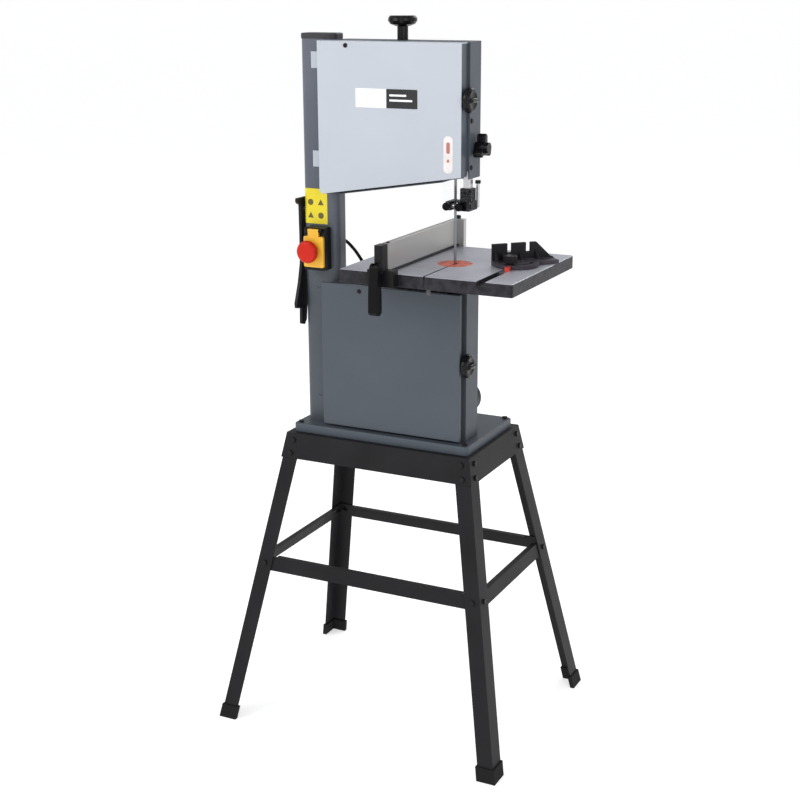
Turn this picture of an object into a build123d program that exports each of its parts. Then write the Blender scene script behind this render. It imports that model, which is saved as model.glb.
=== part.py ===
from build123d import *
from math import atan2, cos, degrees, hypot, pi, radians, sin, sqrt
import os

# A ten inch vertical band saw on a splayed steel stand.
# Frame: +X from the column towards the blade and table, +Y to the back, +Z up.
# Origin: on the floor under the middle of the stand.  Millimetres.

# ---- stand -----------------------------------------------------------------
STAND_H = 594.0          # top of the stand
TOP_X, TOP_Y = 194.5, 119.0      # leg corner at the top, half spans
FOOT_X, FOOT_Y = 303.5, 235.0    # leg corner at the floor, half spans
LEG_FRONT, LEG_SIDE, LEG_T = 32.0, 38.0, 2.5
BOOT_FLOOR, BOOT_H, BOOT_WALL = 4.0, 27.0, 3.0
APRON_H, APRON_T, APRON_FLANGE = 50.0, 2.5, 30.0
STRETCHER_Z, STRETCHER_H, STRETCHER_T = 314.0, 28.0, 2.5
BOLT_R, BOLT_HOLE_R, BOLT_HEAD_R, BOLT_HEAD_H = 3.0, 3.2, 5.5, 3.6
# ---- base and column -------------------------------------------------------
BASE_X, BASE_Y, BASE_H, BASE_T = 188.0, 109.0, 17.0, 3.0
BASE_Z = STAND_H + BASE_H
BASE_BOLT_X, BASE_BOLT_Y = 177.0, 98.0
COL_X0, COL_X1 = -177.0, -102.0
COL_Y0, COL_Y1 = -72.0, -32.0
COL_TOP, COL_T, COL_R = 1348.0, 2.5, 12.0
CAP_H = 10.0
# ---- wheel housings and doors ----------------------------------------------
HOUSING_X1 = 170.0
HOUSING_BACK = -24.0
SHEET = 2.5
DOOR_SHEET = 1.5
DOOR_FACE_Y = -98.0
DOOR_X0, DOOR_X1 = -126.0, 165.4
UPPER_TOP = 1347.0
UPPER_LEFT_Z, UPPER_SLOPE = 1065.0, 0.158      # lower edge of the upper door
UPPER_LIP = 6.0                                # housing reaches this much lower
LOWER_TOP, LOWER_BOTTOM = 897.0, 615.0
LOWER_SHOULDER_Y = -78.0
HINGE_X, HINGE_Y, HINGE_R, HINGE_PIN_R = -131.0, -76.5, 4.0, 2.0
HINGE_L = 30.0
UPPER_HINGES = (1310.0, 1128.0)
LOWER_HINGES = (865.0, 648.0)
KNOB_Y = -85.0
UPPER_KNOB_Z, LOWER_KNOB_Z = 1247.0, 762.0
# ---- wheels, blade and drive -----------------------------------------------
WHEEL_X, UPPER_WHEEL_Z, LOWER_WHEEL_Z = 13.0, 1214.0, 756.0
TYRE_R, TYRE_T, WHEEL_Y, WHEEL_W = 122.5, 3.0, -57.0, 20.0
BLADE_T, BLADE_W, BLADE_GAP = 0.6, 12.0, 0.3
BLADE_R = TYRE_R + BLADE_GAP
BLADE_X = WHEEL_X + BLADE_R + BLADE_T / 2
SHAFT_R, RUN_GAP = 10.0, 0.05
MOTOR_X, MOTOR_Z, MOTOR_R = -50.0, 690.0, 58.0
PULLEY_R, MOTOR_PULLEY_R, BELT_Y, BELT_W, BELT_T = 55.0, 18.0, -38.0, 10.0, 4.0
SCREW_X, SCREW_Y, SCREW_R = 19.5, -36.0, 5.0
TENSION_KNOB_Z = 1371.0
# ---- table -----------------------------------------------------------------
TABLE_Z, TABLE_X0, TABLE_Y0, TABLE_W, TABLE_D = 947.0, -35.0, -190.5, 340.0, 305.0
TABLE_T, TABLE_RIM_H, TABLE_RIM_T = 8.0, 24.0, 8.0
TABLE_X1, TABLE_Y1 = TABLE_X0 + TABLE_W, TABLE_Y0 + TABLE_D
INSERT_R, INSERT_T = 33.0, 3.0
SLOT_X, SLOT_W, SLOT_DEPTH = 246.0, 16.4, 8.0
TRUNNION_R0, TRUNNION_R1, TRUNNION_SLOT_R, TILT_BOLT_R = 27.0, 44.0, 35.5, 3.0
TRUNNION_Y0, TRUNNION_Y1 = -37.0, -27.0
TILT_MAX = 45.0
# ---- fence, mitre gauge, guides, switch ------------------------------------
FENCE_X0, FENCE_X1, FENCE_Z0, FENCE_Z1 = 53.0, 65.0, 951.5, 1001.0
MITRE_Y, MITRE_ANGLE, MITRE_ARC_R = -28.0, 45.0, 29.0
POST_X, POST_Y, POST_A = 155.0, -43.0, 14.0
GUIDE_Z = 1054.0
CLAMP_Z = 1160.0
SWITCH_X, SWITCH_Z = -140.5, 958.0


# ---- small makers ----------------------------------------------------------
def box(x0, x1, y0, y1, z0, z1):
    return Pos((x0 + x1) / 2, (y0 + y1) / 2, (z0 + z1) / 2) * Box(x1 - x0, y1 - y0, z1 - z0)


def rod(start, end, radius):
    """A round rod from start to end."""
    a, b = Vector(*start), Vector(*end)
    return Plane(origin=a, z_dir=(b - a).normalized()) * Cylinder(
        radius, (b - a).length, align=(Align.CENTER, Align.CENTER, Align.MIN))


def rod_x(y, z, radius, x0, x1):
    return rod((x0, y, z), (x1, y, z), radius)


def rod_y(x, z, radius, y0, y1):
    return rod((x, y0, z), (x, y1, z), radius)


def rod_z(x, y, radius, z0, z1):
    return rod((x, y, z0), (x, y, z1), radius)


def plate_xz(points, y0, y1):
    """A flat outline in X and Z, given thickness from y0 to y1."""
    face = make_face(Polyline(*[(x, y0, z) for x, z in points], close=True))
    return extrude(face, amount=y1 - y0, dir=(0, 1, 0))


def plate_yz(points, x0, x1):
    """A flat outline in Y and Z, given thickness from x0 to x1."""
    face = make_face(Polyline(*[(x0, y, z) for y, z in points], close=True))
    return extrude(face, amount=x1 - x0, dir=(1, 0, 0))


def lobed_disc(radius, lobes, height, depth=0.22):
    """A hand knob seen on its axis: a disc with scallops between its lobes, +Z up from z = 0."""
    disc = Cylinder(radius, height, align=(Align.CENTER, Align.CENTER, Align.MIN))
    cutter = radius * 0.62
    for n in range(lobes):
        a = 2 * pi * (n + 0.5) / lobes
        reach = radius * (1 - depth) + cutter
        disc -= Pos(reach * cos(a), reach * sin(a), height / 2) * Cylinder(cutter, height * 2)
    return fillet(disc.edges().group_by(Axis.Z)[-1], height * 0.12)


def lens_knob(radius, lobes, height):
    """A scalloped hand knob whose rim thins top and bottom, +Z up from z = 0."""
    profile = make_face(Polyline((0, 0), (radius * 0.5, 0), (radius * 0.84, height * 0.2),
                                 (radius, height * 0.52), (radius * 0.97, height * 0.8),
                                 (radius * 0.86, height), (0, height), close=True))
    knob = revolve(Plane.XZ * profile, Axis.Z)
    for n in range(lobes):
        a = 2 * pi * (n + 0.5) / lobes
        knob -= Pos(radius * 1.1 * cos(a), radius * 1.1 * sin(a), height / 2) * Cylinder(radius * 0.2, height * 2)
    return knob


def wing_knob(radius, wings, height):
    """A hub with rounded wings, +Z up from z = 0."""
    hub, wing_r = radius * 0.5, radius * 0.24
    knob = Cylinder(hub, height, align=(Align.CENTER, Align.CENTER, Align.MIN))
    for n in range(wings):
        arm = box(0, radius - wing_r, -wing_r, wing_r, 0, height)
        arm += rod_z(radius - wing_r, 0, wing_r, 0, height)
        knob += Rot(0, 0, 360 * n / wings) * arm
    return fillet(knob.edges().group_by(Axis.Z)[-1], 1.8)


def turned_knob(radius, height, flutes=10):
    """A round fluted knob with a domed top, +Z up from z = 0."""
    knob = Cylinder(radius, height, align=(Align.CENTER, Align.CENTER, Align.MIN))
    knob = fillet(knob.edges().group_by(Axis.Z)[-1], height * 0.3)
    for n in range(flutes):
        a = 2 * pi * n / flutes
        knob -= Pos(radius * 1.06 * cos(a), radius * 1.06 * sin(a), height / 2) * Cylinder(
            radius * 0.13, height * 1.5)
    return knob


# ---- stand -----------------------------------------------------------------
def leg_corner(z):
    """Half spans of the leg's outer corner at height z."""
    k = (STAND_H - z) / STAND_H
    return TOP_X + (FOOT_X - TOP_X) * k, TOP_Y + (FOOT_Y - TOP_Y) * k


def leg_prism(i, j, z0, z1, grow):
    """Splayed angle section between two heights, made thicker by grow on every side."""
    x, y = leg_corner(z1)
    outline = [(x + grow, y + grow), (x - LEG_FRONT - grow, y + grow),
               (x - LEG_FRONT - grow, y - LEG_T - grow), (x - LEG_T - grow, y - LEG_T - grow),
               (x - LEG_T - grow, y - LEG_SIDE - grow), (x + grow, y - LEG_SIDE - grow)]
    face = make_face(Polyline(*[(i * a, j * b, z1) for a, b in outline], close=True))
    low = leg_corner(z0)
    run = Vector(i * (low[0] - x), j * (low[1] - y), z0 - z1)
    return extrude(face, amount=run.length, dir=run.normalized())


def side_band(axis, sign, z0, z1, inner, outer, extra):
    """A sloping band along one side of the stand, between two offsets from the legs' faces."""
    rings = []
    for z in (z0, z1):
        x, y = leg_corner(z)
        if axis == "front":
            centre, size = (0, sign * (y + (inner + outer) / 2)), (2 * (x + extra), outer - inner)
        else:
            centre, size = (sign * (x + (inner + outer) / 2), 0), (outer - inner, 2 * (y + extra))
        rings.append(Plane.XY.offset(z) * Pos(*centre) * Rectangle(*size))
    return loft(rings, ruled=True)


def stand_fasteners():
    """Origin, outward direction and grip of every bolt in the stand."""
    spots = []
    slope_x = (FOOT_X - TOP_X) / STAND_H
    slope_y = (FOOT_Y - TOP_Y) / STAND_H
    front_inset, side_inset = 16.0, 18.0
    for i in (-1, 1):
        for j in (-1, 1):
            for z, outset, grip in ((580.0, APRON_T, 5.0), (554.0, APRON_T, 5.0), (328.0, 0.0, 5.0)):
                x, y = leg_corner(z)
                spots.append(((i * (x - front_inset), j * (y + outset), z), (0, j, slope_y), grip))
                spots.append(((i * (x + outset), j * (y - side_inset), z), (i, 0, slope_x), grip))
    return spots


def bolt(origin, outward, grip):
    """A hexagon bolt with its nut, head outside."""
    nut_h, tail = 4.0, 3.0
    place = Plane(origin=origin, z_dir=outward)
    head = extrude(RegularPolygon(BOLT_HEAD_R, 6), BOLT_HEAD_H)
    low = -(grip + nut_h + tail)
    shank = Pos(0, 0, low) * Cylinder(BOLT_R, -low, align=(Align.CENTER, Align.CENTER, Align.MIN))
    nut = Pos(0, 0, -grip - nut_h) * extrude(RegularPolygon(BOLT_HEAD_R, 6), nut_h)
    return place * (head + shank + nut)


def bolt_hole(origin, outward, grip):
    place = Plane(origin=origin, z_dir=outward)
    return place * Pos(0, 0, -grip / 2) * Cylinder(BOLT_HOLE_R, grip + 6)


def make_stand():
    spots = stand_fasteners()
    holes = [bolt_hole(*spot) for spot in spots]
    leg_top = STAND_H - APRON_T
    parts = {}
    boots = []
    for j, name in ((-1, "front_legs"), (1, "rear_legs")):
        legs = [leg_prism(i, j, BOOT_FLOOR, leg_top, 0) for i in (-1, 1)]
        boots += [leg_prism(i, j, 0, BOOT_H, BOOT_WALL) - leg for i, leg in zip((-1, 1), legs)]
        parts[name] = [leg - holes for leg in legs]
    parts["leg_boots"] = boots

    aprons = []
    x, y = leg_corner(STAND_H)
    z0 = STAND_H - APRON_H
    for sign in (-1, 1):
        band = side_band("front", sign, z0, STAND_H, 0, APRON_T, APRON_T)
        ys = sorted((sign * (y + APRON_T), sign * (y + APRON_T - APRON_FLANGE)))
        band += box(-x - APRON_T, x + APRON_T, *ys, leg_top, STAND_H)
        aprons.append(band)
        band = side_band("side", sign, z0, STAND_H, 0, APRON_T, 0)
        xs = sorted((sign * (x + APRON_T), sign * (x + APRON_T - APRON_FLANGE)))
        reach = y + APRON_T - APRON_FLANGE
        band = band - box(-400, 400, -y - 1, -reach, leg_top, STAND_H) \
            - box(-400, 400, reach, y + 1, leg_top, STAND_H)
        band += box(*xs, -reach, reach, leg_top, STAND_H)
        aprons.append(band)
    base_holes = [rod_z(i * BASE_BOLT_X, j * BASE_BOLT_Y, BOLT_HOLE_R, 580, 620)
                  for i in (-1, 1) for j in (-1, 1)]
    parts["aprons"] = [a - holes - base_holes for a in aprons]

    stretchers = []
    z0, z1 = STRETCHER_Z, STRETCHER_Z + STRETCHER_H
    inner, outer = -LEG_T - STRETCHER_T, -LEG_T
    flange = 11.0
    for sign in (-1, 1):
        bar = side_band("front", sign, z0, z1, inner, outer, outer - 0.5)
        bar += side_band("front", sign, z1 - STRETCHER_T, z1, outer - flange, outer, -LEG_SIDE)
        stretchers.append(bar)
        bar = side_band("side", sign, z0, z1, inner, outer, inner - 0.5)
        bar += side_band("side", sign, z1 - STRETCHER_T, z1, outer - flange, outer, -LEG_SIDE)
        stretchers.append(bar)
    parts["stretchers"] = [s - holes for s in stretchers]
    base_bolts = [bolt((i * BASE_BOLT_X, j * BASE_BOLT_Y, BASE_Z), (0, 0, 1), BASE_H + APRON_T)
                  for i in (-1, 1) for j in (-1, 1)]
    parts["stand_bolts"] = [bolt(*spot) for spot in spots] + base_bolts
    return parts


# ---- base, column, housings ------------------------------------------------
def make_base_plate():
    """A pressed steel pan, open below, that the column and lower housing are welded on."""
    pan = box(-BASE_X, BASE_X, -BASE_Y, BASE_Y, STAND_H, BASE_Z)
    pan = fillet(pan.edges().filter_by(Axis.Z), 8)
    pan = fillet(pan.faces().sort_by(Axis.Z)[-1].edges(), 2.5)
    lip = 2.5
    hollow = box(-BASE_X + lip, BASE_X - lip, -BASE_Y + lip, BASE_Y - lip, STAND_H, BASE_Z - BASE_T)
    hollow = fillet(hollow.edges().filter_by(Axis.Z), 6)
    pan -= hollow
    for i in (-1, 1):
        for j in (-1, 1):
            pan -= rod_z(i * BASE_BOLT_X, j * BASE_BOLT_Y, BOLT_HOLE_R, 580, 620)
    return pan


def wheel_window(z):
    """Opening between the column and a housing where the wheel's edge passes."""
    return box(COL_X1 - 6, COL_X1 + 6, -70.0, -42.0, z - 60, z + 60)


def make_column():
    tube = box(COL_X0, COL_X1, COL_Y0, COL_Y1, BASE_Z, COL_TOP)
    tube = fillet(tube.edges().filter_by(Axis.Z), COL_R)
    core = box(COL_X0 + COL_T, COL_X1 - COL_T, COL_Y0 + COL_T, COL_Y1 - COL_T, BASE_Z, COL_TOP)
    tube -= fillet(core.edges().filter_by(Axis.Z), COL_R - COL_T)
    tube -= wheel_window(UPPER_WHEEL_Z)
    tube -= wheel_window(LOWER_WHEEL_Z)
    tube -= rod_y(SWITCH_X, LEAD_Z, LEAD_EXIT_R, COL_Y1 - 6, COL_Y1 + 6)
    tube -= rod_y(SWITCH_X, SWITCH_Z, 8, COL_Y0 - 6, COL_Y0 + 6)
    tube -= rod_x(PEG_Y, PEG_Z, PEG_R, COL_X0 - 5, COL_X0 + 5)
    return tube


def make_column_cap():
    cap = box(COL_X0 - 1, COL_X1 + 0.0, COL_Y0 - 1, COL_Y1 + 1, COL_TOP, COL_TOP + CAP_H)
    cap = fillet(cap.edges().filter_by(Axis.Z), COL_R)
    cap = fillet(cap.faces().sort_by(Axis.Z)[-1].edges(), 2.5)
    plug = box(COL_X0 + COL_T + 0.2, COL_X1 - COL_T - 0.2, COL_Y0 + COL_T + 0.2, COL_Y1 - COL_T - 0.2,
               COL_TOP - 12, COL_TOP)
    plug = fillet(plug.edges().filter_by(Axis.Z), COL_R - COL_T)
    return cap + plug


def upper_edge(x, drop=0.0):
    """Height of the upper door's sloping lower edge at x."""
    return UPPER_LEFT_Z + UPPER_SLOPE * (x - DOOR_X0) - drop


def make_upper_housing():
    x0, x1 = COL_X1, HOUSING_X1
    outer = plate_xz([(x0, upper_edge(x0, UPPER_LIP)), (x1, upper_edge(x1, UPPER_LIP)),
                      (x1, UPPER_TOP), (x0, UPPER_TOP)], COL_Y0, HOUSING_BACK)
    inner = plate_xz([(x0 + SHEET, upper_edge(x0, UPPER_LIP - SHEET)),
                      (x1 - SHEET, upper_edge(x1, UPPER_LIP - SHEET)),
                      (x1 - SHEET, UPPER_TOP - SHEET), (x0 + SHEET, UPPER_TOP - SHEET)],
                     COL_Y0, HOUSING_BACK - SHEET)
    shell = outer - inner
    shell -= wheel_window(UPPER_WHEEL_Z)
    # opening in the lower wall for the blade, the guide post and the guard
    shell -= box(117.0, 167.5, COL_Y0, -31.0, 1080, 1125)
    # hole for the tension screw and for the guide clamp stud
    shell -= rod_z(SCREW_X, SCREW_Y, SCREW_R + 0.5, UPPER_TOP - 10, UPPER_TOP + 10)
    shell -= rod_x(POST_Y, CLAMP_Z, 4.4, HOUSING_X1 - 8, HOUSING_X1 + 4)
    shell -= rod_y(WHEEL_X, UPPER_WHEEL_Z, 12.0, HOUSING_BACK - 8, HOUSING_BACK + 4)
    # door catch: a tab with a slot open to the front
    z = UPPER_KNOB_Z
    shell += box(154.0, x1 - SHEET, COL_Y0, COL_Y0 + SHEET, z - 14, z + 14)
    shell += box(154.0, 156.5, -93.0, COL_Y0 + SHEET, z - 14, z + 14)
    shell -= box(150.0, 160.0, -94.0, KNOB_Y, z - 3.6, z + 3.6)
    shell -= rod_x(KNOB_Y, z, 3.6, 150.0, 160.0)
    return shell + tension_rails() + post_bracket()


def make_lower_housing():
    x0, x1 = COL_X1, HOUSING_X1
    y0 = LOWER_SHOULDER_Y
    shell = box(x0, x1, y0, HOUSING_BACK, BASE_Z, LOWER_TOP)
    shell -= box(x0 + SHEET, x1 - SHEET, y0 + SHEET, HOUSING_BACK - SHEET, BASE_Z + SHEET,
                 LOWER_TOP - SHEET)
    # inner lip that the door's edge closes around
    lx0, lx1, lz0, lz1, ly = -120.0, 160.5, 619.0, LOWER_TOP - 5.0, -95.0
    lip = box(lx0, lx1, ly, y0, lz0, lz1)
    lip += box(lx0, x0 + SHEET, y0, COL_Y0, lz0, lz1)
    shell += lip
    shell -= box(lx0 + SHEET, lx1 - SHEET, ly - 1, y0 + SHEET, lz0 + SHEET, lz1 - SHEET)
    shell -= box(lx0 + SHEET, x0 + SHEET, ly - 1, COL_Y0, lz0 + SHEET, lz1 - SHEET)
    shell -= wheel_window(LOWER_WHEEL_Z)
    # the blade's slot, open to the front so that the blade can be lifted out
    shell -= box(BLADE_X - 6, BLADE_X + 6, ly - 1, -44.0, LOWER_TOP - 12, LOWER_TOP + 4)
    # catch slot for the door knob's stud
    z = LOWER_KNOB_Z
    shell -= box(lx1 - 8, lx1 + 4, ly - 1, KNOB_Y, z - 3.6, z + 3.6)
    shell -= rod_x(KNOB_Y, z, 3.6, lx1 - 8, lx1 + 4)
    # dust port and shafts in the back wall
    shell -= rod_y(DUST_X, DUST_Z, DUST_R - 2.5, HOUSING_BACK - 8, HOUSING_BACK + 4)
    shell -= rod_y(WHEEL_X, LOWER_WHEEL_Z, SHAFT_R, HOUSING_BACK - 8, HOUSING_BACK + 4)
    shell -= rod_y(MOTOR_X, MOTOR_Z, 12.0, HOUSING_BACK - 8, HOUSING_BACK + 4)
    return shell


DUST_X, DUST_Z, DUST_R, DUST_L = 122.0, 668.0, 31.5, 56.0


def make_dust_port():
    y0, y1 = HOUSING_BACK, HOUSING_BACK + DUST_L
    port = rod_y(DUST_X, DUST_Z, DUST_R, y0, y1)
    port += rod_y(DUST_X, DUST_Z, DUST_R + 5, y0, y0 + 3)
    port -= rod_y(DUST_X, DUST_Z, DUST_R - 2.5, y0 - 1, y1 + 1)
    return port


# ---- doors -----------------------------------------------------------------
def hinge_barrels(z_mid, fixed):
    """Knuckles of one hinge: the fixed leaf holds the two end knuckles and the pin."""
    third = HINGE_L / 3
    z0 = z_mid - HINGE_L / 2
    gap = 0.3
    if fixed:
        leaf = box(-152.0, HINGE_X, COL_Y0 - 1.6, COL_Y0, z0, z0 + HINGE_L)
        leaf += box(HINGE_X - HINGE_R, HINGE_X, HINGE_Y, COL_Y0, z0, z0 + HINGE_L)
        leaf -= box(HINGE_X - 6, HINGE_X + 6, HINGE_Y - 6, COL_Y0 - 1.6, z0 + third, z0 + 2 * third)
        for n in (0, 2):
            leaf += rod_z(HINGE_X, HINGE_Y, HINGE_R, z0 + n * third, z0 + (n + 1) * third)
        leaf -= rod_z(HINGE_X, HINGE_Y, HINGE_R + 0.4, z0 + third, z0 + 2 * third)
        return leaf + rod_z(HINGE_X, HINGE_Y, HINGE_PIN_R, z0, z0 + HINGE_L)
    leaf = rod_z(HINGE_X, HINGE_Y, HINGE_R - 0.4, z0 + third + gap, z0 + 2 * third - gap)
    leaf += box(HINGE_X, DOOR_X0, HINGE_Y - 3.0, HINGE_Y - 0.6, z0 + third + gap, z0 + 2 * third - gap)
    leaf += box(DOOR_X0 - 1.6, DOOR_X0, -92.0, HINGE_Y - 0.6, z0 + third + gap, z0 + 2 * third - gap)
    return leaf - rod_z(HINGE_X, HINGE_Y, HINGE_PIN_R + RUN_GAP, z0, z0 + HINGE_L)


def make_hinge_leaves():
    return [hinge_barrels(z, True) for z in UPPER_HINGES + LOWER_HINGES]


def door_tray(points, inner_points, rim_y):
    """A folded sheet door: a face with a rim turned back on all four sides."""
    tray = plate_xz(points, DOOR_FACE_Y, rim_y)
    tray = fillet(tray.faces().sort_by(Axis.Y)[0].edges(), 1.4)
    return tray - plate_xz(inner_points, DOOR_FACE_Y + DOOR_SHEET, rim_y + 1)


def make_upper_door():
    x0, x1, t = DOOR_X0, DOOR_X1, DOOR_SHEET
    corner = 6.0
    points = [(x0, upper_edge(x0) + corner), (x0 + corner, upper_edge(x0 + corner)),
              (x1, upper_edge(x1)), (x1, UPPER_TOP - 1), (x0, UPPER_TOP - 1)]
    inner = [(x0 + t, upper_edge(x0) + corner + t * 0.6), (x0 + corner + t * 0.6, upper_edge(x0 + corner) + t),
             (x1 - t, upper_edge(x1 - t) + t), (x1 - t, UPPER_TOP - 1 - t), (x0 + t, UPPER_TOP - 1 - t)]
    rim_y = COL_Y0 - 0.5
    door = door_tray(points, inner, rim_y)
    # notch in the lower rim for the guard, hole for the knob's stud
    door -= box(114.0, x1 - t, -90.0, rim_y + 1, 1090, 1116)
    door -= rod_x(KNOB_Y, UPPER_KNOB_Z, 3.1, x1 - 5, x1 + 5)
    for z in UPPER_HINGES:
        door += hinge_barrels(z, False)
    return door


def make_lower_door():
    x0, x1, t = DOOR_X0, DOOR_X1, DOOR_SHEET
    z0, z1 = LOWER_BOTTOM, LOWER_TOP
    rim_y = -91.0
    points = [(x0, z0), (x1, z0), (x1, z1), (x0, z1)]
    inner = [(x0 + t, z0 + t), (x1 - t, z0 + t), (x1 - t, z1 - t), (x0 + t, z1 - t)]
    door = door_tray(points, inner, rim_y)
    # ear on the right edge for the knob's stud
    z = LOWER_KNOB_Z
    door += box(x1 - t, x1, DOOR_FACE_Y + 2, -78.5, z - 13, z + 13)
    door -= rod_x(KNOB_Y, z, 3.1, x1 - 5, x1 + 5)
    for z in LOWER_HINGES:
        door += hinge_barrels(z, False)
    return door


def door_knob(z):
    """Round fluted knob on a stud with a retaining collar inside the door's rim."""
    back = HOUSING_X1 + 0.6
    knob = Plane(origin=(back, KNOB_Y, z), z_dir=(1, 0, 0)) * turned_knob(22.5, 19.0)
    knob += rod_x(KNOB_Y, z, 6.5, DOOR_X1 + 0.3, back + 1)
    return knob + rod_x(KNOB_Y, z, 3.0, 150.5, back + 1)


# ---- wheels, shafts, blade and drive ---------------------------------------
def make_wheel(z, pulley):
    y0, y1 = WHEEL_Y - WHEEL_W / 2, WHEEL_Y + WHEEL_W / 2
    rim_r = TYRE_R - TYRE_T
    wheel = rod_y(WHEEL_X, z, rim_r, y0, y1)
    wheel -= rod_y(WHEEL_X, z, rim_r - 7, y0 - 1, WHEEL_Y - 3)
    wheel -= rod_y(WHEEL_X, z, rim_r - 7, WHEEL_Y + 3, y1 + 1)
    wheel += rod_y(WHEEL_X, z, 21.0, y0, y1)
    spokes = 5
    for n in range(spokes):
        a = 2 * pi * n / spokes
        wheel -= rod_y(WHEEL_X + 68 * cos(a), z + 68 * sin(a), 28.0, y0 - 1, y1 + 1)
    if pulley:
        py0, py1 = BELT_Y - BELT_W / 2 - 2, BELT_Y + BELT_W / 2 + 2
        wheel += rod_y(WHEEL_X, z, 30.0, y1 - 8, py0)
        wheel += rod_y(WHEEL_X, z, PULLEY_R, py0, py1)
        wheel += rod_y(WHEEL_X, z, PULLEY_R + 4, py0, py0 + 1.8)
        wheel += rod_y(WHEEL_X, z, PULLEY_R + 4, py1 - 1.8, py1)
    return wheel - rod_y(WHEEL_X, z, SHAFT_R + RUN_GAP, y0 - 1, HOUSING_BACK)


def make_tyre(z):
    y0, y1 = WHEEL_Y - WHEEL_W / 2, WHEEL_Y + WHEEL_W / 2
    return rod_y(WHEEL_X, z, TYRE_R, y0, y1) - rod_y(WHEEL_X, z, TYRE_R - TYRE_T, y0 - 1, y1 + 1)


def make_shaft(z, y1):
    """Fixed axle with a retaining washer and nut on its front end."""
    y0 = WHEEL_Y - WHEEL_W / 2
    axle = rod_y(WHEEL_X, z, SHAFT_R, y0 - 3, y1)
    axle += rod_y(WHEEL_X, z, 14.0, y0 - 2.4, y0 - 0.4)
    nut = Plane(origin=(WHEEL_X, y0 - 2.4, z), z_dir=(0, -1, 0)) * extrude(RegularPolygon(12, 6), 8)
    return axle + nut


def band_loop(x_a, z_a, r_a, x_b, z_b, r_b, thickness, y0, y1):
    """A flat belt run tight around two wheels whose axes lie along Y."""
    def hull(extra):
        a, b = r_a + extra, r_b + extra
        d = hypot(x_b - x_a, z_b - z_a)
        base = atan2(z_b - z_a, x_b - x_a)
        spread = acos_of((a - b) / d)
        pts = []
        for s, (x, z, r) in ((1, (x_a, z_a, a)), (1, (x_b, z_b, b)), (-1, (x_b, z_b, b)), (-1, (x_a, z_a, a))):
            t = base + s * spread
            pts.append((x + r * cos(t), z + r * sin(t)))
        body = plate_xz(pts, y0, y1)
        return body + rod_y(x_a, z_a, a, y0, y1) + rod_y(x_b, z_b, b, y0, y1)
    return hull(thickness) - hull(0)


def acos_of(c):
    return atan2(sqrt(1 - c * c), c)


def make_blade():
    """Toothed steel band; the tooth edge faces the front."""
    return band_loop(WHEEL_X, LOWER_WHEEL_Z, BLADE_R, WHEEL_X, UPPER_WHEEL_Z, BLADE_R, BLADE_T,
                     WHEEL_Y - BLADE_W / 2, WHEEL_Y + BLADE_W / 2)


def make_belt():
    gap = 0.3
    return band_loop(MOTOR_X, MOTOR_Z, MOTOR_PULLEY_R + gap, WHEEL_X, LOWER_WHEEL_Z, PULLEY_R + gap,
                     BELT_T, BELT_Y - BELT_W / 2, BELT_Y + BELT_W / 2)


def make_motor_pulley():
    y0, y1 = BELT_Y - BELT_W / 2 - 2, BELT_Y + BELT_W / 2 + 2
    pulley = rod_y(MOTOR_X, MOTOR_Z, MOTOR_PULLEY_R, y0, y1)
    pulley += rod_y(MOTOR_X, MOTOR_Z, MOTOR_PULLEY_R + 5, y0, y0 + 1.8)
    pulley += rod_y(MOTOR_X, MOTOR_Z, MOTOR_PULLEY_R + 5, y1 - 1.8, y1)
    return pulley + rod_y(MOTOR_X, MOTOR_Z, 7.0, y1, 60.0)


MOTOR_Y0, MOTOR_Y1 = HOUSING_BACK, 84.0


def make_motor():
    """Finned motor body with its flange, terminal box and the shaft's bearing bore."""
    body = rod_y(MOTOR_X, MOTOR_Z, MOTOR_R - 4, MOTOR_Y0, MOTOR_Y1)
    body += rod_y(MOTOR_X, MOTOR_Z, MOTOR_R, MOTOR_Y0, MOTOR_Y0 + 8)
    fins = 24
    for n in range(fins):
        fin = box(-1.2, 1.2, MOTOR_Y0 + 8, MOTOR_Y1 - 10, MOTOR_R - 6, MOTOR_R)
        body += Pos(MOTOR_X, 0, MOTOR_Z) * Rot(0, 360 * n / fins, 0) * fin
    body += box(MOTOR_X - 28, MOTOR_X + 28, 10.0, 62.0, MOTOR_Z + 40, MOTOR_Z + MOTOR_R + 24)
    return body - rod_y(MOTOR_X, MOTOR_Z, 7.0 + RUN_GAP, MOTOR_Y0 - 1, 61.0)


def make_fan_cover():
    cover = rod_y(MOTOR_X, MOTOR_Z, MOTOR_R, MOTOR_Y1 - 6, MOTOR_Y1 + 18)
    cover = fillet(cover.edges().sort_by(Axis.Y)[-1], 6)
    cover -= rod_y(MOTOR_X, MOTOR_Z, MOTOR_R - 3.9, MOTOR_Y1 - 7, MOTOR_Y1 + 14)
    rings = (16.0, 28.0, 40.0)
    for r in rings:
        cutters = rod_y(MOTOR_X, MOTOR_Z, r + 3, MOTOR_Y1 + 12, MOTOR_Y1 + 20) \
            - rod_y(MOTOR_X, MOTOR_Z, r - 3, MOTOR_Y1 + 12, MOTOR_Y1 + 20)
        for a in (0, 90):
            web = box(-3, 3, MOTOR_Y1 + 10, MOTOR_Y1 + 22, -60, 60)
            cutters -= Pos(MOTOR_X, 0, MOTOR_Z) * Rot(0, a, 0) * web
        cover -= cutters
    return cover


# ---- blade tension ---------------------------------------------------------
CARRIAGE_HALF, RAIL_GAP = 30.0, 0.3


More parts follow.
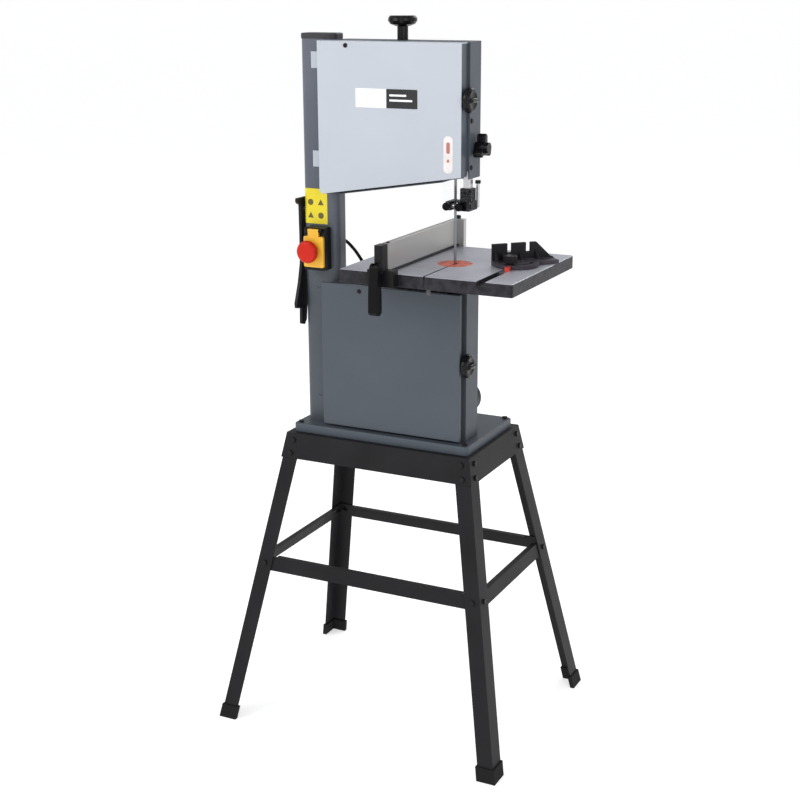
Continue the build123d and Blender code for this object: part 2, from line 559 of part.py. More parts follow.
def tension_rails():
    """Two upright rails on the back wall, each with a lip that keeps the carriage in."""
    rails = []
    z0, z1 = 1140.0, 1300.0
    back = HOUSING_BACK - SHEET
    for s in (-1, 1):
        inner, outer = sorted((WHEEL_X + s * (CARRIAGE_HALF + RAIL_GAP), WHEEL_X + s * (CARRIAGE_HALF + 9)))
        rail = box(inner, outer, -43.0, back, z0, z1)
        inner, outer = sorted((WHEEL_X + s * (CARRIAGE_HALF - 5), WHEEL_X + s * (CARRIAGE_HALF + 9)))
        rails.append(rail + box(inner, outer, -45.5, -43.0, z0, z1))
    return rails


def make_carriage():
    """Sliding block that carries the upper axle; the tension screw threads into its top."""
    back = HOUSING_BACK - SHEET - RAIL_GAP
    z = UPPER_WHEEL_Z
    block = box(WHEEL_X - CARRIAGE_HALF, WHEEL_X + CARRIAGE_HALF, -42.7, back, z - 32, z + 32)
    block += box(WHEEL_X - 22, WHEEL_X + 22, -46.5, -42.7, z - 24, z + 24)
    block += make_shaft(z, back)
    return block - rod_z(SCREW_X, SCREW_Y, SCREW_R + RUN_GAP, z + 11, z + 40)


def make_tension_spring():
    """Close-wound spring between the screw's thrust washer and the top of the carriage."""
    z0, z1 = UPPER_WHEEL_Z + 32, UPPER_WHEEL_Z + 82
    coils = 8
    wire = 1.5
    path = Helix(pitch=(z1 - z0 - 2 * wire) / coils, height=z1 - z0 - 2 * wire, radius=7.6)
    coil = sweep(Plane(origin=path @ 0, z_dir=path % 0) * Circle(wire), path, is_frenet=True)
    return Pos(SCREW_X, SCREW_Y, z0 + wire) * coil


def make_tension_screw():
    z = TENSION_KNOB_Z
    knob = Pos(SCREW_X, SCREW_Y, z) * lens_knob(27.0, 8, 18.5)
    knob += rod_z(SCREW_X, SCREW_Y, 10.0, UPPER_TOP + 0.3, z)
    knob += rod_z(SCREW_X, SCREW_Y, SCREW_R, UPPER_WHEEL_Z + 12, z)
    return knob + rod_z(SCREW_X, SCREW_Y, 9.0, UPPER_WHEEL_Z + 82.2, UPPER_WHEEL_Z + 85)


def make_tracking_knob():
    """Set screw behind the upper wheel that tips the axle, with its lock knob outside."""
    z = UPPER_WHEEL_Z
    stud = rod_y(WHEEL_X, z, 5.0, HOUSING_BACK - 2.4, 0.0)
    knob = Plane(origin=(WHEEL_X, -2.0, z), z_dir=(0, 1, 0)) * lobed_disc(20.0, 6, 14.0, 0.14)
    return stud + knob


# ---- blade guides ----------------------------------------------------------
def post_bracket():
    half = POST_A / 2 + 0.1
    block = box(POST_X - 11, HOUSING_X1 - SHEET, POST_Y - 13, POST_Y + 13, CLAMP_Z - 20, CLAMP_Z + 20)
    block -= box(POST_X - half, POST_X + half, POST_Y - half, POST_Y + half, CLAMP_Z - 30, CLAMP_Z + 30)
    return block - rod_x(POST_Y, CLAMP_Z, 4.0 + RUN_GAP, POST_X, HOUSING_X1)


POST_TOP = 1290.0
POST_LOW = GUIDE_Z + 8


def make_guide_post():
    half = POST_A / 2
    post = box(POST_X - half, POST_X + half, POST_Y - half, POST_Y + half, POST_LOW, POST_TOP)
    return chamfer(post.edges().filter_by(Axis.Z), 1.5)


BEARING_R, BEARING_Y = 10.0, WHEEL_Y + BLADE_W / 2 + 0.5 + 10.0


def guide_body(z, right_x):
    """U-shaped guide body open to the blade, with bores for two pins and the bearing's axle."""
    z0, z1 = z - 8, z + 8
    body = box(119.0, 129.0, -63.0, -26.0, z0, z1)
    body += box(143.0, right_x, -63.0, -26.0, z0, z1)
    body += box(119.0, right_x, -30.0, -26.0, z0, z1)
    body -= rod_x(WHEEL_Y, z, 4.0, 110.0, 180.0)
    return body + rod_x(BEARING_Y, z, 3.0, 127.0, 145.0)


def make_guide_block():
    body = guide_body(GUIDE_Z, 166.0)
    half = POST_A / 2
    boss = box(POST_X - 11, POST_X + 11, POST_Y - 11, POST_Y + 10, GUIDE_Z + 8, GUIDE_Z + 32)
    boss -= box(POST_X - half, POST_X + half, POST_Y - half, POST_Y + half, GUIDE_Z + 8, GUIDE_Z + 40)
    for x in (124.0, 149.0):
        knob = Plane(origin=(x, -66.0, GUIDE_Z), z_dir=(0, -1, 0)) * turned_knob(7.5, 8.5, 8)
        body += knob + rod_y(x, GUIDE_Z, 2.5, -68.0, -61.5)
    body += rod_y(POST_X - 4, GUIDE_Z + 22, 4.0, POST_Y - 15, POST_Y - 11)
    return body + boss


def guide_pins(z):
    near = BLADE_T / 2 + 0.3
    return [rod_x(WHEEL_Y, z, 4.0, BLADE_X - near - 16, BLADE_X - near),
            rod_x(WHEEL_Y, z, 4.0, BLADE_X + near, BLADE_X + near + 16)]


def thrust_bearing(z):
    wheel = rod_x(BEARING_Y, z, BEARING_R, 132.5, 139.5)
    return wheel - rod_x(BEARING_Y, z, 3.0 + RUN_GAP, 130.0, 142.0)


def make_blade_guard():
    """Clear guard round the front and right of the blade, with a tongue up into the housing."""
    z0, z1 = GUIDE_Z - 6, 1098.0
    t = 2.0
    guard = box(120.0, 170.0, -80.0, -80.0 + t, GUIDE_Z + 12, z1)
    guard += box(170.0 - t, 170.0, -80.0, -29.0, z0, z1)
    guard += box(120.0, 163.0, -80.0, -80.0 + t, z1, 1190.0)
    guard += box(144.0, 168.0, -78.0, POST_Y - 11, GUIDE_Z + 26, GUIDE_Z + 30)
    guard += box(166.0, 168.0, POST_Y - 11, POST_Y + 10, GUIDE_Z + 8, GUIDE_Z + 30)
    return guard


def make_clamp_knob():
    knob = Plane(origin=(174.5, POST_Y, CLAMP_Z), z_dir=(1, 0, 0)) * wing_knob(25.5, 3, 16.0)
    knob += rod_x(POST_Y, CLAMP_Z, 10.0, HOUSING_X1 + 0.3, 196.0)
    return knob + rod_x(POST_Y, CLAMP_Z, 4.0, POST_X + POST_A / 2 + 0.3, 180.0)


# ---- table -----------------------------------------------------------------
def make_table():
    """Ribbed casting: thin top, deep rim, blade slot to the front edge and a mitre slot."""
    x0, x1, y0, y1, z = TABLE_X0, TABLE_X1, TABLE_Y0, TABLE_Y1, TABLE_Z
    table = box(x0, x1, y0, y1, z - TABLE_RIM_H, z)
    table = fillet(table.edges().filter_by(Axis.Z), 3)
    table = chamfer(table.faces().sort_by(Axis.Z)[-1].edges(), 1.0)
    rim = TABLE_RIM_T
    table -= box(x0 + rim, x1 - rim, y0 + rim, y1 - rim, z - TABLE_RIM_H, z - TABLE_T)
    table += box(SLOT_X - 15, SLOT_X + 15, y0 + rim, y1 - rim, z - 17, z - TABLE_T)
    for x in (20.0, 217.0):
        table += box(x - 3, x + 3, y0 + rim, y1 - rim, z - 18, z - TABLE_T)
    table += box(x0 + rim, x1 - rim, 40.0, 46.0, z - 18, z - TABLE_T)
    table += box(x0 + rim, x1 - rim, -140.0, -134.0, z - 18, z - TABLE_T)
    table -= rod_z(BLADE_X, WHEEL_Y, INSERT_R, z - INSERT_T, z + 1)
    table -= rod_z(BLADE_X, WHEEL_Y, INSERT_R - 4, z - 30, z + 1)
    table -= box(BLADE_X - 1.6, BLADE_X + 1.6, y0 - 1, WHEEL_Y, z - 30, z + 1)
    return table - box(SLOT_X - SLOT_W / 2, SLOT_X + SLOT_W / 2, y0 - 1, y1 + 1, z - SLOT_DEPTH, z + 1)


def make_insert():
    """Round table insert with a wide slot for the blade at every tilt."""
    z1 = TABLE_Z - 0.1
    disc = rod_z(BLADE_X, WHEEL_Y, INSERT_R - 0.3, TABLE_Z - INSERT_T, z1)
    disc -= box(BLADE_X - 2.5, BLADE_X + 6.0, WHEEL_Y - 12, WHEEL_Y + 12, 900, 960)
    disc -= box(BLADE_X - 1.6, BLADE_X + 1.6, WHEEL_Y - 40, WHEEL_Y, 900, 960)
    return disc


def make_trunnion():
    """Half ring under the table, slotted for the lock bolt, with a flange bolted to the table."""
    x, z = BLADE_X, TABLE_Z
    ring = rod_y(x, z, TRUNNION_R1, TRUNNION_Y0, TRUNNION_Y1)
    ring -= rod_y(x, z, TRUNNION_R0, TRUNNION_Y0 - 1, TRUNNION_Y1 + 1)
    ring -= box(x - 60, x + 60, TRUNNION_Y0 - 1, TRUNNION_Y1 + 1, z - TABLE_T, z + 60)
    ring += box(x - 52, x - 20, -46.0, -16.0, z - TABLE_T - 3, z - TABLE_T)
    ring += box(x + 20, x + 52, -46.0, -16.0, z - TABLE_T - 3, z - TABLE_T)
    width = TILT_BOLT_R + 0.4
    steps = range(-2, 48, 3)
    for a in steps:
        t = radians(a)
        ring -= rod_y(x + TRUNNION_SLOT_R * sin(t), z - TRUNNION_SLOT_R * cos(t), width,
                      TRUNNION_Y0 - 1, TRUNNION_Y1 + 1)
    return ring


def make_trunnion_bracket():
    """Cradle on top of the lower housing, with a cheek each side of the trunnion."""
    x, z0 = BLADE_X, LOWER_TOP
    y0, y1 = TRUNNION_Y0 - 6, TRUNNION_Y1 + 6
    body = box(x - 20, x + 20, y0, HOUSING_BACK, z0, z0 + 11)
    body += box(x - 20, x + 10, HOUSING_BACK, y1, z0 - 26, z0 + 11)
    body += box(x - 20, x + 10, y0, TRUNNION_Y0 - 0.3, z0, z0 + 20)
    body += box(x - 20, x + 10, TRUNNION_Y1 + 0.3, y1, z0, z0 + 20)
    body -= rod_y(x, TABLE_Z, TRUNNION_R1 + 0.3, TRUNNION_Y0 - 0.3, TRUNNION_Y1 + 0.3)
    body -= rod_y(x, TABLE_Z - TRUNNION_SLOT_R, TILT_BOLT_R + RUN_GAP, y0 - 5, y1 + 5)
    return body


def make_tilt_lock():
    """Through bolt with a lobed hand knob behind the trunnion."""
    x, z = BLADE_X, TABLE_Z - TRUNNION_SLOT_R
    y0 = TRUNNION_Y0 - 6
    lock = rod_y(x, z, TILT_BOLT_R, y0 - 3, 0.0)
    lock += rod_y(x, z, 5.5, y0 - 3.2, y0 - 0.2)
    knob = Plane(origin=(x, TRUNNION_Y1 + 12, z), z_dir=(0, 1, 0)) * lobed_disc(12.5, 5, 14.0, 0.16)
    return lock + knob + rod_y(x, z, 8.0, TRUNNION_Y1 + 6.3, TRUNNION_Y1 + 12)


LOWER_GUIDE_Z = 908.0


def make_lower_guide():
    """Lower guide body, screwed to the front of the trunnion bracket."""
    z = LOWER_GUIDE_Z
    body = box(121.0, 129.0, -63.0, -43.2, LOWER_TOP, z + 5)
    body += box(143.0, 151.0, -63.0, -43.2, LOWER_TOP, z + 5)
    return body - rod_x(WHEEL_Y, z, 3.0, 110.0, 180.0)


def make_lower_pins():
    z, near = LOWER_GUIDE_Z, BLADE_T / 2 + 0.3
    return [rod_x(WHEEL_Y, z, 3.0, 118.5, BLADE_X - near), rod_x(WHEEL_Y, z, 3.0, BLADE_X + near, 153.0)]


# ---- rip fence -------------------------------------------------------------
FENCE_Y0, FENCE_Y1 = -190.5, 114.0
FENCE_MID = (FENCE_X0 + FENCE_X1) / 2
LEVER_X, LEVER_Y, LEVER_Z = 56.0, -221.0, 960.0
BRACKET_X0, BRACKET_X1 = 49.0, 64.5
LUG_HALF, FORK_R, PIN_R = 4.0, 9.0, 2.6


def make_fence():
    """Hollow aluminium extrusion with a T-slot along its left face."""
    bar = box(FENCE_X0, FENCE_X1, FENCE_Y0, FENCE_Y1, FENCE_Z0, FENCE_Z1)
    bar = fillet(bar.edges().filter_by(Axis.Y), 1.0)
    for z0, z1 in ((FENCE_Z0 + 2, FENCE_Z0 + 16), (FENCE_Z1 - 17, FENCE_Z1 - 2)):
        bar -= box(FENCE_X0 + 2, FENCE_X1 - 2, FENCE_Y0 - 1, FENCE_Y1 + 1, z0, z1)
    bar -= box(FENCE_X0 + 1.8, FENCE_X0 + 6, FENCE_Y0 - 1, FENCE_Y1 + 1, FENCE_Z0 + 18.5, FENCE_Z1 - 19)
    return bar - box(FENCE_X0 - 1, FENCE_X0 + 3, FENCE_Y0 - 1, FENCE_Y1 + 1, FENCE_Z0 + 22, FENCE_Z1 - 23)


def make_fence_strip():
    """Low-friction strip under the fence that slides on the table."""
    return box(FENCE_X0 + 0.5, FENCE_X1 + 1.2, FENCE_Y0, FENCE_Y1, TABLE_Z + 0.3, FENCE_Z0)


def make_fence_bracket():
    """Front casting: holds the fence's end and runs along the table's front edge."""
    y0, y1 = LEVER_Y + 6, FENCE_Y0
    body = box(BRACKET_X0, BRACKET_X1, y0, y1, 950.0, 1000.0)
    body = fillet(body.edges().filter_by(Axis.Z), 3)
    body += box(FENCE_MID - 26, FENCE_MID + 26, y0 + 5, y1 - 0.4, 925.0, 955.0)
    body -= rod_x(LEVER_Y, LEVER_Z, FORK_R + 0.8, FENCE_X0 - 20, FENCE_X1 + 20)
    lug = rod_x(LEVER_Y, LEVER_Z, 6.0, LEVER_X - LUG_HALF, LEVER_X + LUG_HALF)
    lug += box(LEVER_X - LUG_HALF, LEVER_X + LUG_HALF, LEVER_Y, y0 + 4, LEVER_Z - 6, LEVER_Z + 6)
    return body + lug - rod_x(LEVER_Y, LEVER_Z, PIN_R, LEVER_X - 8, LEVER_X + 8)


def make_fence_lever():
    """Forked cam lever on a cross pin, hanging down in front when locked."""
    y, z = LEVER_Y, LEVER_Z
    half = 9.0
    front_line = [(y - FORK_R, z), (y - 13.0, z - 32), (y - 15.0, z - 78)]
    back_line = [(y + 6.0, z - 80), (y + 5.0, z - 34), (y + 2.0, z - 8.6)]
    front, back = (Spline(*[(0, a, b) for a, b in line]) for line in (front_line, back_line))
    end = ThreePointArc(front @ 1, (0, y - 5.0, z - 85.0), back @ 0)
    outline = [front, end, back, Line(back @ 1, front @ 0)]
    lever = extrude(make_face(outline), amount=2 * half, dir=(1, 0, 0))
    lever = Pos(LEVER_X - half, 0, 0) * lever + rod_x(y, z, FORK_R, LEVER_X - half, LEVER_X + half)
    sides = lever.faces().sort_by(Axis.X)
    lever = chamfer(sides[0].edges() + sides[-1].edges(), 1.0)
    gap = LUG_HALF + 0.4
    lever -= box(LEVER_X - gap, LEVER_X + gap, y - 7.0, y + 20, z - 7.2, z + 20)
    lever -= rod_x(y, z, 7.2, LEVER_X - gap, LEVER_X + gap)
    return lever + rod_x(y, z, PIN_R - RUN_GAP, LEVER_X - half, LEVER_X + half)


def make_rear_clamp():
    """Rear end piece that hooks under the table's back edge, with its tightening knob on top."""
    y0 = FENCE_Y1
    body = box(FENCE_X0, FENCE_X1 + 12, y0 + 0.8, y0 + 12, TABLE_Z - 26, FENCE_Z1 - 1)
    body += box(FENCE_X0, FENCE_X1 + 12, y0, y0 + 1.0, TABLE_Z + 2, FENCE_Z1 - 1)
    body += box(FENCE_X0, FENCE_X1 + 12, y0 - 6, y0 + 12, TABLE_Z - 30, TABLE_Z - 24.6)
    knob = Pos(FENCE_MID + 3, y0 + 6, FENCE_Z1 - 1) * turned_knob(5.8, 7.0, 8)
    return body + knob


# ---- mitre gauge -----------------------------------------------------------
def mitre_frame():
    return Pos(SLOT_X, MITRE_Y, TABLE_Z) * Rot(0, 0, MITRE_ANGLE)


def make_mitre_bar():
    bar = box(SLOT_X - 8, SLOT_X + 8, -98.0, 102.0, TABLE_Z - SLOT_DEPTH + 0.3, TABLE_Z - 0.2)
    bar -= rod_z(SLOT_X, MITRE_Y - MITRE_ARC_R, 2.95 + RUN_GAP, 900, 960)
    return bar + rod_z(SLOT_X, MITRE_Y, 3.0, TABLE_Z - 1, TABLE_Z + 7.0)


def make_mitre_head():
    """Half-round protractor with an upright fence notched on its top edge, swung on the bar."""
    radius, lift, base_t = 42.0, 0.3, 7.0
    face_y, back_y, height = 16.0, 23.0, 39.0
    x0, x1 = -40.0, 82.0
    base = Pos(0, 0, lift) * Cylinder(radius, base_t, align=(Align.CENTER, Align.CENTER, Align.MIN))
    base -= box(-60, 60, face_y, 60, 0, 60)
    base += box(x0, x1, face_y - 24, back_y, lift, lift + base_t)
    outline = [(x0, lift), (x1, lift), (x1, 9), (75, 12), (47, height), (x0, height)]
    upright = plate_xz(outline, face_y, back_y)
    for notch in (-11.0, 26.0):
        upright -= box(notch, notch + 9.5, face_y - 1, back_y + 1, height - 17, height + 1)
    for x, high in ((-38.0, 30.0), (-22.0, 22.0), (12.0, 22.0), (44.0, 26.0)):
        upright += plate_yz([(face_y, 4.0), (face_y, high), (face_y - 18, 4.0)], x, x + 4)
    head = base + upright - Cylinder(3.0 + RUN_GAP, 60)
    for a in range(-150, -28, 4):
        t = radians(a)
        head -= Pos(MITRE_ARC_R * cos(t), MITRE_ARC_R * sin(t), 0) * Cylinder(3.4, 60)
    return mitre_frame() * head


def make_mitre_knob():
    x, y, z = SLOT_X, MITRE_Y - MITRE_ARC_R, TABLE_Z
    knob = Pos(x, y, z + 12.0) * lobed_disc(13.0, 6, 12.0, 0.12)
    return knob + rod_z(x, y, 6.5, z + 7.6, z + 13) + rod_z(x, y, 2.95, z - 6, z + 9)


# ---- switch ----------------------------------------------------------------
SWITCH_HALF, SWITCH_Z0, SWITCH_Z1 = 23.0, 918.0, 1000.0
SWITCH_Y0 = COL_Y0 - 22.0


def make_switch_box():
    x0, x1 = SWITCH_X - SWITCH_HALF, SWITCH_X + SWITCH_HALF
    body = box(x0, x1, SWITCH_Y0, COL_Y0, SWITCH_Z0, SWITCH_Z1)
    body = fillet(body.edges().filter_by(Axis.Y), 3)
    body -= box(SWITCH_X - 18, SWITCH_X + 18, SWITCH_Y0 - 1, SWITCH_Y0 + 10, 927.0, 982.0)
    body -= rod_y(START_X, START_Z, START_R + RUN_GAP, SWITCH_Y0 + 9, SWITCH_Y0 + 20)
    for s in (-1, 1):
        body += rod_x(FLAP_Y, FLAP_Z, 3.5, *sorted((SWITCH_X + s * 12, SWITCH_X + s * 18)))
        body += box(*sorted((SWITCH_X + s * 12, SWITCH_X + s * 18)), FLAP_Y, SWITCH_Y0, FLAP_Z - 3.5, FLAP_Z + 3.5)
    return body + rod_x(FLAP_Y, FLAP_Z, 1.5, SWITCH_X - 18, SWITCH_X + 18)


FLAP_Y, FLAP_Z = SWITCH_Y0 - 4.0, 995.0
START_X, START_Z, START_R = -131.5, 972.0, 7.0


def make_switch_flap():
    """Yellow flap hinged along the top; pressing it closed stops the saw."""
    y1 = SWITCH_Y0 - 0.4
    flap = box(SWITCH_X - 21.5, SWITCH_X + 21.5, y1 - 6, y1, 924.5, 984.0)
    flap = fillet(flap.edges().filter_by(Axis.Y), 4)
    flap = fillet(flap.faces().sort_by(Axis.Y)[0].edges(), 1.5)
    flap += box(SWITCH_X - 11.4, SWITCH_X + 11.4, FLAP_Y - 2.4, FLAP_Y + 2.4, 983.0, FLAP_Z)
    flap += rod_x(FLAP_Y, FLAP_Z, 3.2, SWITCH_X - 11.4, SWITCH_X + 11.4)
    flap -= rod_x(FLAP_Y, FLAP_Z, 1.5 + RUN_GAP, SWITCH_X - 15, SWITCH_X + 15)
    return flap - rod_y(STOP_X, STOP_Z, 9.0 + RUN_GAP, y1 - 10, y1 + 5)


STOP_X, STOP_Z, STOP_R = -148.0, 955.5, 21.5


def make_stop_button():
    """Red mushroom button that slides through the flap."""
    y1 = SWITCH_Y0 - 0.4
    stem = rod_y(STOP_X, STOP_Z, 9.0, y1 - 13, y1 - 0.5)
    head = rod_y(STOP_X, STOP_Z, STOP_R, y1 - 23, y1 - 12)
    head = fillet(head.edges().sort_by(Axis.Y)[0], 6)
    head = fillet(head.edges().sort_by(Axis.Y)[-1], 2)
    return stem + head


def make_start_button():
    """Round push button inside the switch box, reached with the flap open."""
    return rod_y(START_X, START_Z, START_R, SWITCH_Y0 + 1.5, SWITCH_Y0 + 15.5)


# ---- push stick ------------------------------------------------------------
PEG_Y, PEG_Z, PEG_R = -58.0, 1030.0, 3.0
STICK_X0, STICK_X1 = -186.0, -180.0


def make_push_stick():
    """Flat stick with a nose at the top and a bird's mouth at the foot, hung on a peg."""
    outline = [(-50, 1052), (-86, 1052), (-87, 1046), (-84, 1042), (-75, 1038), (-74, 980), (-75, 925),
               (-84, 890), (-99, 850), (-98, 840), (-79, 838), (-80, 806), (-70, 803), (-62, 812),
               (-54, 870), (-50, 930)]
    stick = plate_yz(outline, STICK_X0, STICK_X1)
    stick = fillet(stick.edges().filter_by(Axis.X), 1.5)
    return stick - rod_x(PEG_Y, PEG_Z, PEG_R + 0.6, STICK_X0 - 1, STICK_X1 + 1)


def make_peg():
    peg = rod_x(PEG_Y, PEG_Z, PEG_R, -192.0, COL_X0 + COL_T)
    return peg + rod_x(PEG_Y, PEG_Z, 5.5, STICK_X1 + 0.3, COL_X0)


# ---- motor lead ------------------------------------------------------------
LEAD_R, LEAD_EXIT_R = 3.2, 5.0
LEAD_Z = 968.0
TERMINAL_Z = MOTOR_Z + MOTOR_R + 24
LEAD_ROUTE = [(-140.5, -20.0, 968.0), (-140.5, -3.0, 968.0), (-127.0, 7.0, 960.0), (-110.0, 10.0, 943.0),
              (-93.0, 13.0, 918.0), (-77.0, 19.0, 889.0), (-61.0, 29.0, 856.0), (-50.0, 36.0, 822.0),
              (-50.0, 36.0, 797.0)]


def make_lead():
    """Rubber lead from the switch, out of the column's back and down to the motor."""
    route = [Vector(*p) for p in LEAD_ROUTE]
    radii = []
    for a, b, c in zip(route, route[1:], route[2:]):
        turn = radians((b - a).get_angle(c - b))
        radii.append(0.45 * min((b - a).length, (c - b).length) / tan_half(turn))
    print("lead radii", [round(r, 1) for r in radii])
    path = FilletPolyline(*route, radius=radii)
    section = Plane(origin=path @ 0, z_dir=path % 0) * Circle(LEAD_R)
    lead = sweep(section, path)
    print("lead length", round(path.length, 1), "volume ratio",
          round(lead.volume / (pi * LEAD_R ** 2 * path.length), 4))
    return lead


def tan_half(turn):
    return sin(turn / 2) / cos(turn / 2)


def make_lead_glands():
    """Cable glands at the column's back and on the motor's terminal box."""
    column_gland = rod_y(SWITCH_X, LEAD_Z, LEAD_EXIT_R, COL_Y1 - COL_T, COL_Y1)
    column_gland += rod_y(SWITCH_X, LEAD_Z, 8.0, COL_Y1, LEAD_ROUTE[0][1])
    x, y = LEAD_ROUTE[-1][:2]
    motor_gland = rod_z(x, y, 8.0, TERMINAL_Z, LEAD_ROUTE[-1][2])
    return [column_gland, motor_gland]


# ---- everything ------------------------------------------------------------
def solids():
    parts = make_stand()
    parts["base_plate"] = make_base_plate()
    parts["column"] = make_column()
    parts["column_cap"] = make_column_cap()
    parts["upper_housing"] = make_upper_housing()
    parts["lower_housing"] = make_lower_housing()
    parts["dust_port"] = make_dust_port()
    parts["hinge_leaves"] = make_hinge_leaves()
    parts["upper_door"] = make_upper_door()
    parts["lower_door"] = make_lower_door()
    parts["upper_door_knob"] = door_knob(UPPER_KNOB_Z)
    parts["lower_door_knob"] = door_knob(LOWER_KNOB_Z)
    parts["upper_wheel"] = make_wheel(UPPER_WHEEL_Z, False)
    parts["lower_wheel"] = make_wheel(LOWER_WHEEL_Z, True)
    parts["upper_tyre"] = make_tyre(UPPER_WHEEL_Z)
    parts["lower_tyre"] = make_tyre(LOWER_WHEEL_Z)
    parts["lower_axle"] = make_shaft(LOWER_WHEEL_Z, HOUSING_BACK + 2)
    parts["blade"] = make_blade()
    parts["drive_belt"] = make_belt()
    parts["motor_pulley"] = make_motor_pulley()
    parts["motor"] = make_motor()
    parts["motor_fan_cover"] = make_fan_cover()
    parts["wheel_carriage"] = make_carriage()
    parts["tension_spring"] = make_tension_spring()
    parts["tension_screw"] = make_tension_screw()
    parts["tracking_knob"] = make_tracking_knob()
    parts["guide_post"] = make_guide_post()
    parts["guide_block"] = make_guide_block()
    parts["guide_pins"] = guide_pins(GUIDE_Z)
    parts["thrust_bearing"] = thrust_bearing(GUIDE_Z)
    parts["blade_guard"] = make_blade_guard()
    parts["guide_clamp_knob"] = make_clamp_knob()
    parts["table"] = make_table()
    parts["table_insert"] = make_insert()
    parts["trunnion"] = make_trunnion()
    parts["trunnion_bracket"] = make_trunnion_bracket()
    parts["tilt_lock_knob"] = make_tilt_lock()
    parts["lower_guide"] = make_lower_guide()
    parts["lower_guide_pins"] = make_lower_pins()
    parts["fence"] = make_fence()
    parts["fence_strip"] = make_fence_strip()
    parts["fence_bracket"] = make_fence_bracket()
    parts["fence_lever"] = make_fence_lever()
    parts["fence_rear_clamp"] = make_rear_clamp()
    parts["mitre_bar"] = make_mitre_bar()
    parts["mitre_head"] = make_mitre_head()
    parts["mitre_knob"] = make_mitre_knob()
    parts["switch_box"] = make_switch_box()
    parts["switch_flap"] = make_switch_flap()
    parts["stop_button"] = make_stop_button()
    parts["start_button"] = make_start_button()
    parts["push_stick"] = make_push_stick()
    parts["stick_peg"] = make_peg()
    parts["motor_lead"] = make_lead()
    parts["lead_glands"] = make_lead_glands()
    return parts


def main():
    os.makedirs("parts", exist_ok=True)
    for name, shape in solids().items():
        if isinstance(shape, list):
            shape = Compound(children=[s.solid() if len(s.solids()) == 1 else s for s in shape])
        export_step(shape, "parts/" + name + ".step")


main()
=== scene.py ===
import bpy, bmesh, math
from mathutils import Matrix, Vector


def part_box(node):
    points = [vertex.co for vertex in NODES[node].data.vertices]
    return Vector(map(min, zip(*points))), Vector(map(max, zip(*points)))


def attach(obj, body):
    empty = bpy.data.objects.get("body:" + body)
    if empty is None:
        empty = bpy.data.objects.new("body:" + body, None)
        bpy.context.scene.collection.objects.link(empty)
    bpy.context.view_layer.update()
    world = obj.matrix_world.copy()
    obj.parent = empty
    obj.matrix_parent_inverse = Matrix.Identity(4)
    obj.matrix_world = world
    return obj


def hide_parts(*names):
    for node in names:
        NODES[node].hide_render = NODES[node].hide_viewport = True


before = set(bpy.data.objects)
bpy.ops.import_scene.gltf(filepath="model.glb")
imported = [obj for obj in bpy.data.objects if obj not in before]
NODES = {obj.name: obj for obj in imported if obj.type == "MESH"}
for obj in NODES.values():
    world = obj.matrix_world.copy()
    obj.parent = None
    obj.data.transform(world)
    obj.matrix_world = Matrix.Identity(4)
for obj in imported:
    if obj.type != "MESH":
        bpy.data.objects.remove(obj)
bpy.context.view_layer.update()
MM = 0.001


# ---- camera, lights, floor --------------------------------------------------
def make_camera():
    cam = bpy.data.objects.new("camera", bpy.data.cameras.new("camera"))
    bpy.context.collection.objects.link(cam)
    cam.data.sensor_width, cam.data.lens = 36.0, 65.31
    right = Vector((0.89486, 0.44632, -0.00437))
    up = Vector((-0.12092, 0.25183, 0.96019))
    forward = Vector((-0.42964, 0.85871, -0.27933))
    m = Matrix((right, up, -forward)).transposed().to_4x4()
    m.translation = Vector((1.2288, -2.4708, 1.4550))
    cam.matrix_world = m
    cam.data.clip_start, cam.data.clip_end = 0.05, 2000
    bpy.context.scene.camera = cam


def area_light(name, at, aim, size, power, tint=(1, 1, 1)):
    lamp = bpy.data.lights.new(name, "AREA")
    lamp.shape, lamp.size, lamp.size_y = "RECTANGLE", size[0], size[1]
    lamp.energy, lamp.color = power, tint
    o = bpy.data.objects.new(name, lamp)
    bpy.context.collection.objects.link(o)
    o.location = at
    o.rotation_euler = (Vector(aim) - Vector(at)).to_track_quat("-Z", "Y").to_euler()
    return o


def make_studio():
    scene = bpy.context.scene
    scene.view_settings.view_transform = "Standard"
    scene.view_settings.look = "None"
    world = bpy.data.worlds.new("studio")
    scene.world = world
    world.use_nodes = True
    back = world.node_tree.nodes["Background"]
    back.inputs["Color"].default_value = (0.97, 0.98, 1.0, 1)
    t = world.node_tree
    sep = t.nodes.new("ShaderNodeSeparateXYZ")
    t.links.new(t.nodes.new("ShaderNodeTexCoord").outputs["Generated"], sep.inputs[0])
    t.links.new(span(t, sep.outputs["Z"], 1.08, 0.53, 0.06, 0.30), back.inputs["Strength"])
    area_light("key", (-2.2, -3.2, 3.2), (0, 0, 0.8), (2.2, 2.2), 76, (1.0, 0.99, 0.97))
    area_light("fill", (2.9, -2.4, 2.2), (0, 0, 0.9), (1.6, 2.4), 26)
    area_light("rim", (0.6, 3.2, 3.0), (0, 0, 1.0), (2.4, 1.6), 34)
    mesh = bpy.data.meshes.new("floor")
    s = 400.0
    mesh.from_pydata([(-s, -s, 0), (s, -s, 0), (s, s, 0), (-s, s, 0)], [], [(0, 1, 2, 3)])
    floor = bpy.data.objects.new("floor", mesh)
    bpy.context.collection.objects.link(floor)
    white = plain("floor_white", (0.80, 0.80, 0.80), 0.9)
    glow = white.node_tree.nodes["Principled BSDF"]
    glow.inputs["Emission Color"].default_value = (1.0, 1.0, 1.0, 1)
    glow.inputs["Emission Strength"].default_value = 0.55
    mesh.materials.append(white)


# ---- materials --------------------------------------------------------------
def new_material(name):
    m = bpy.data.materials.new(name)
    m.use_nodes = True
    t = m.node_tree
    return m, t, t.nodes["Principled BSDF"]


def plain(name, rgb, rough):
    m, _, b = new_material(name)
    b.inputs["Base Color"].default_value = (*rgb, 1)
    b.inputs["Roughness"].default_value = rough
    return m


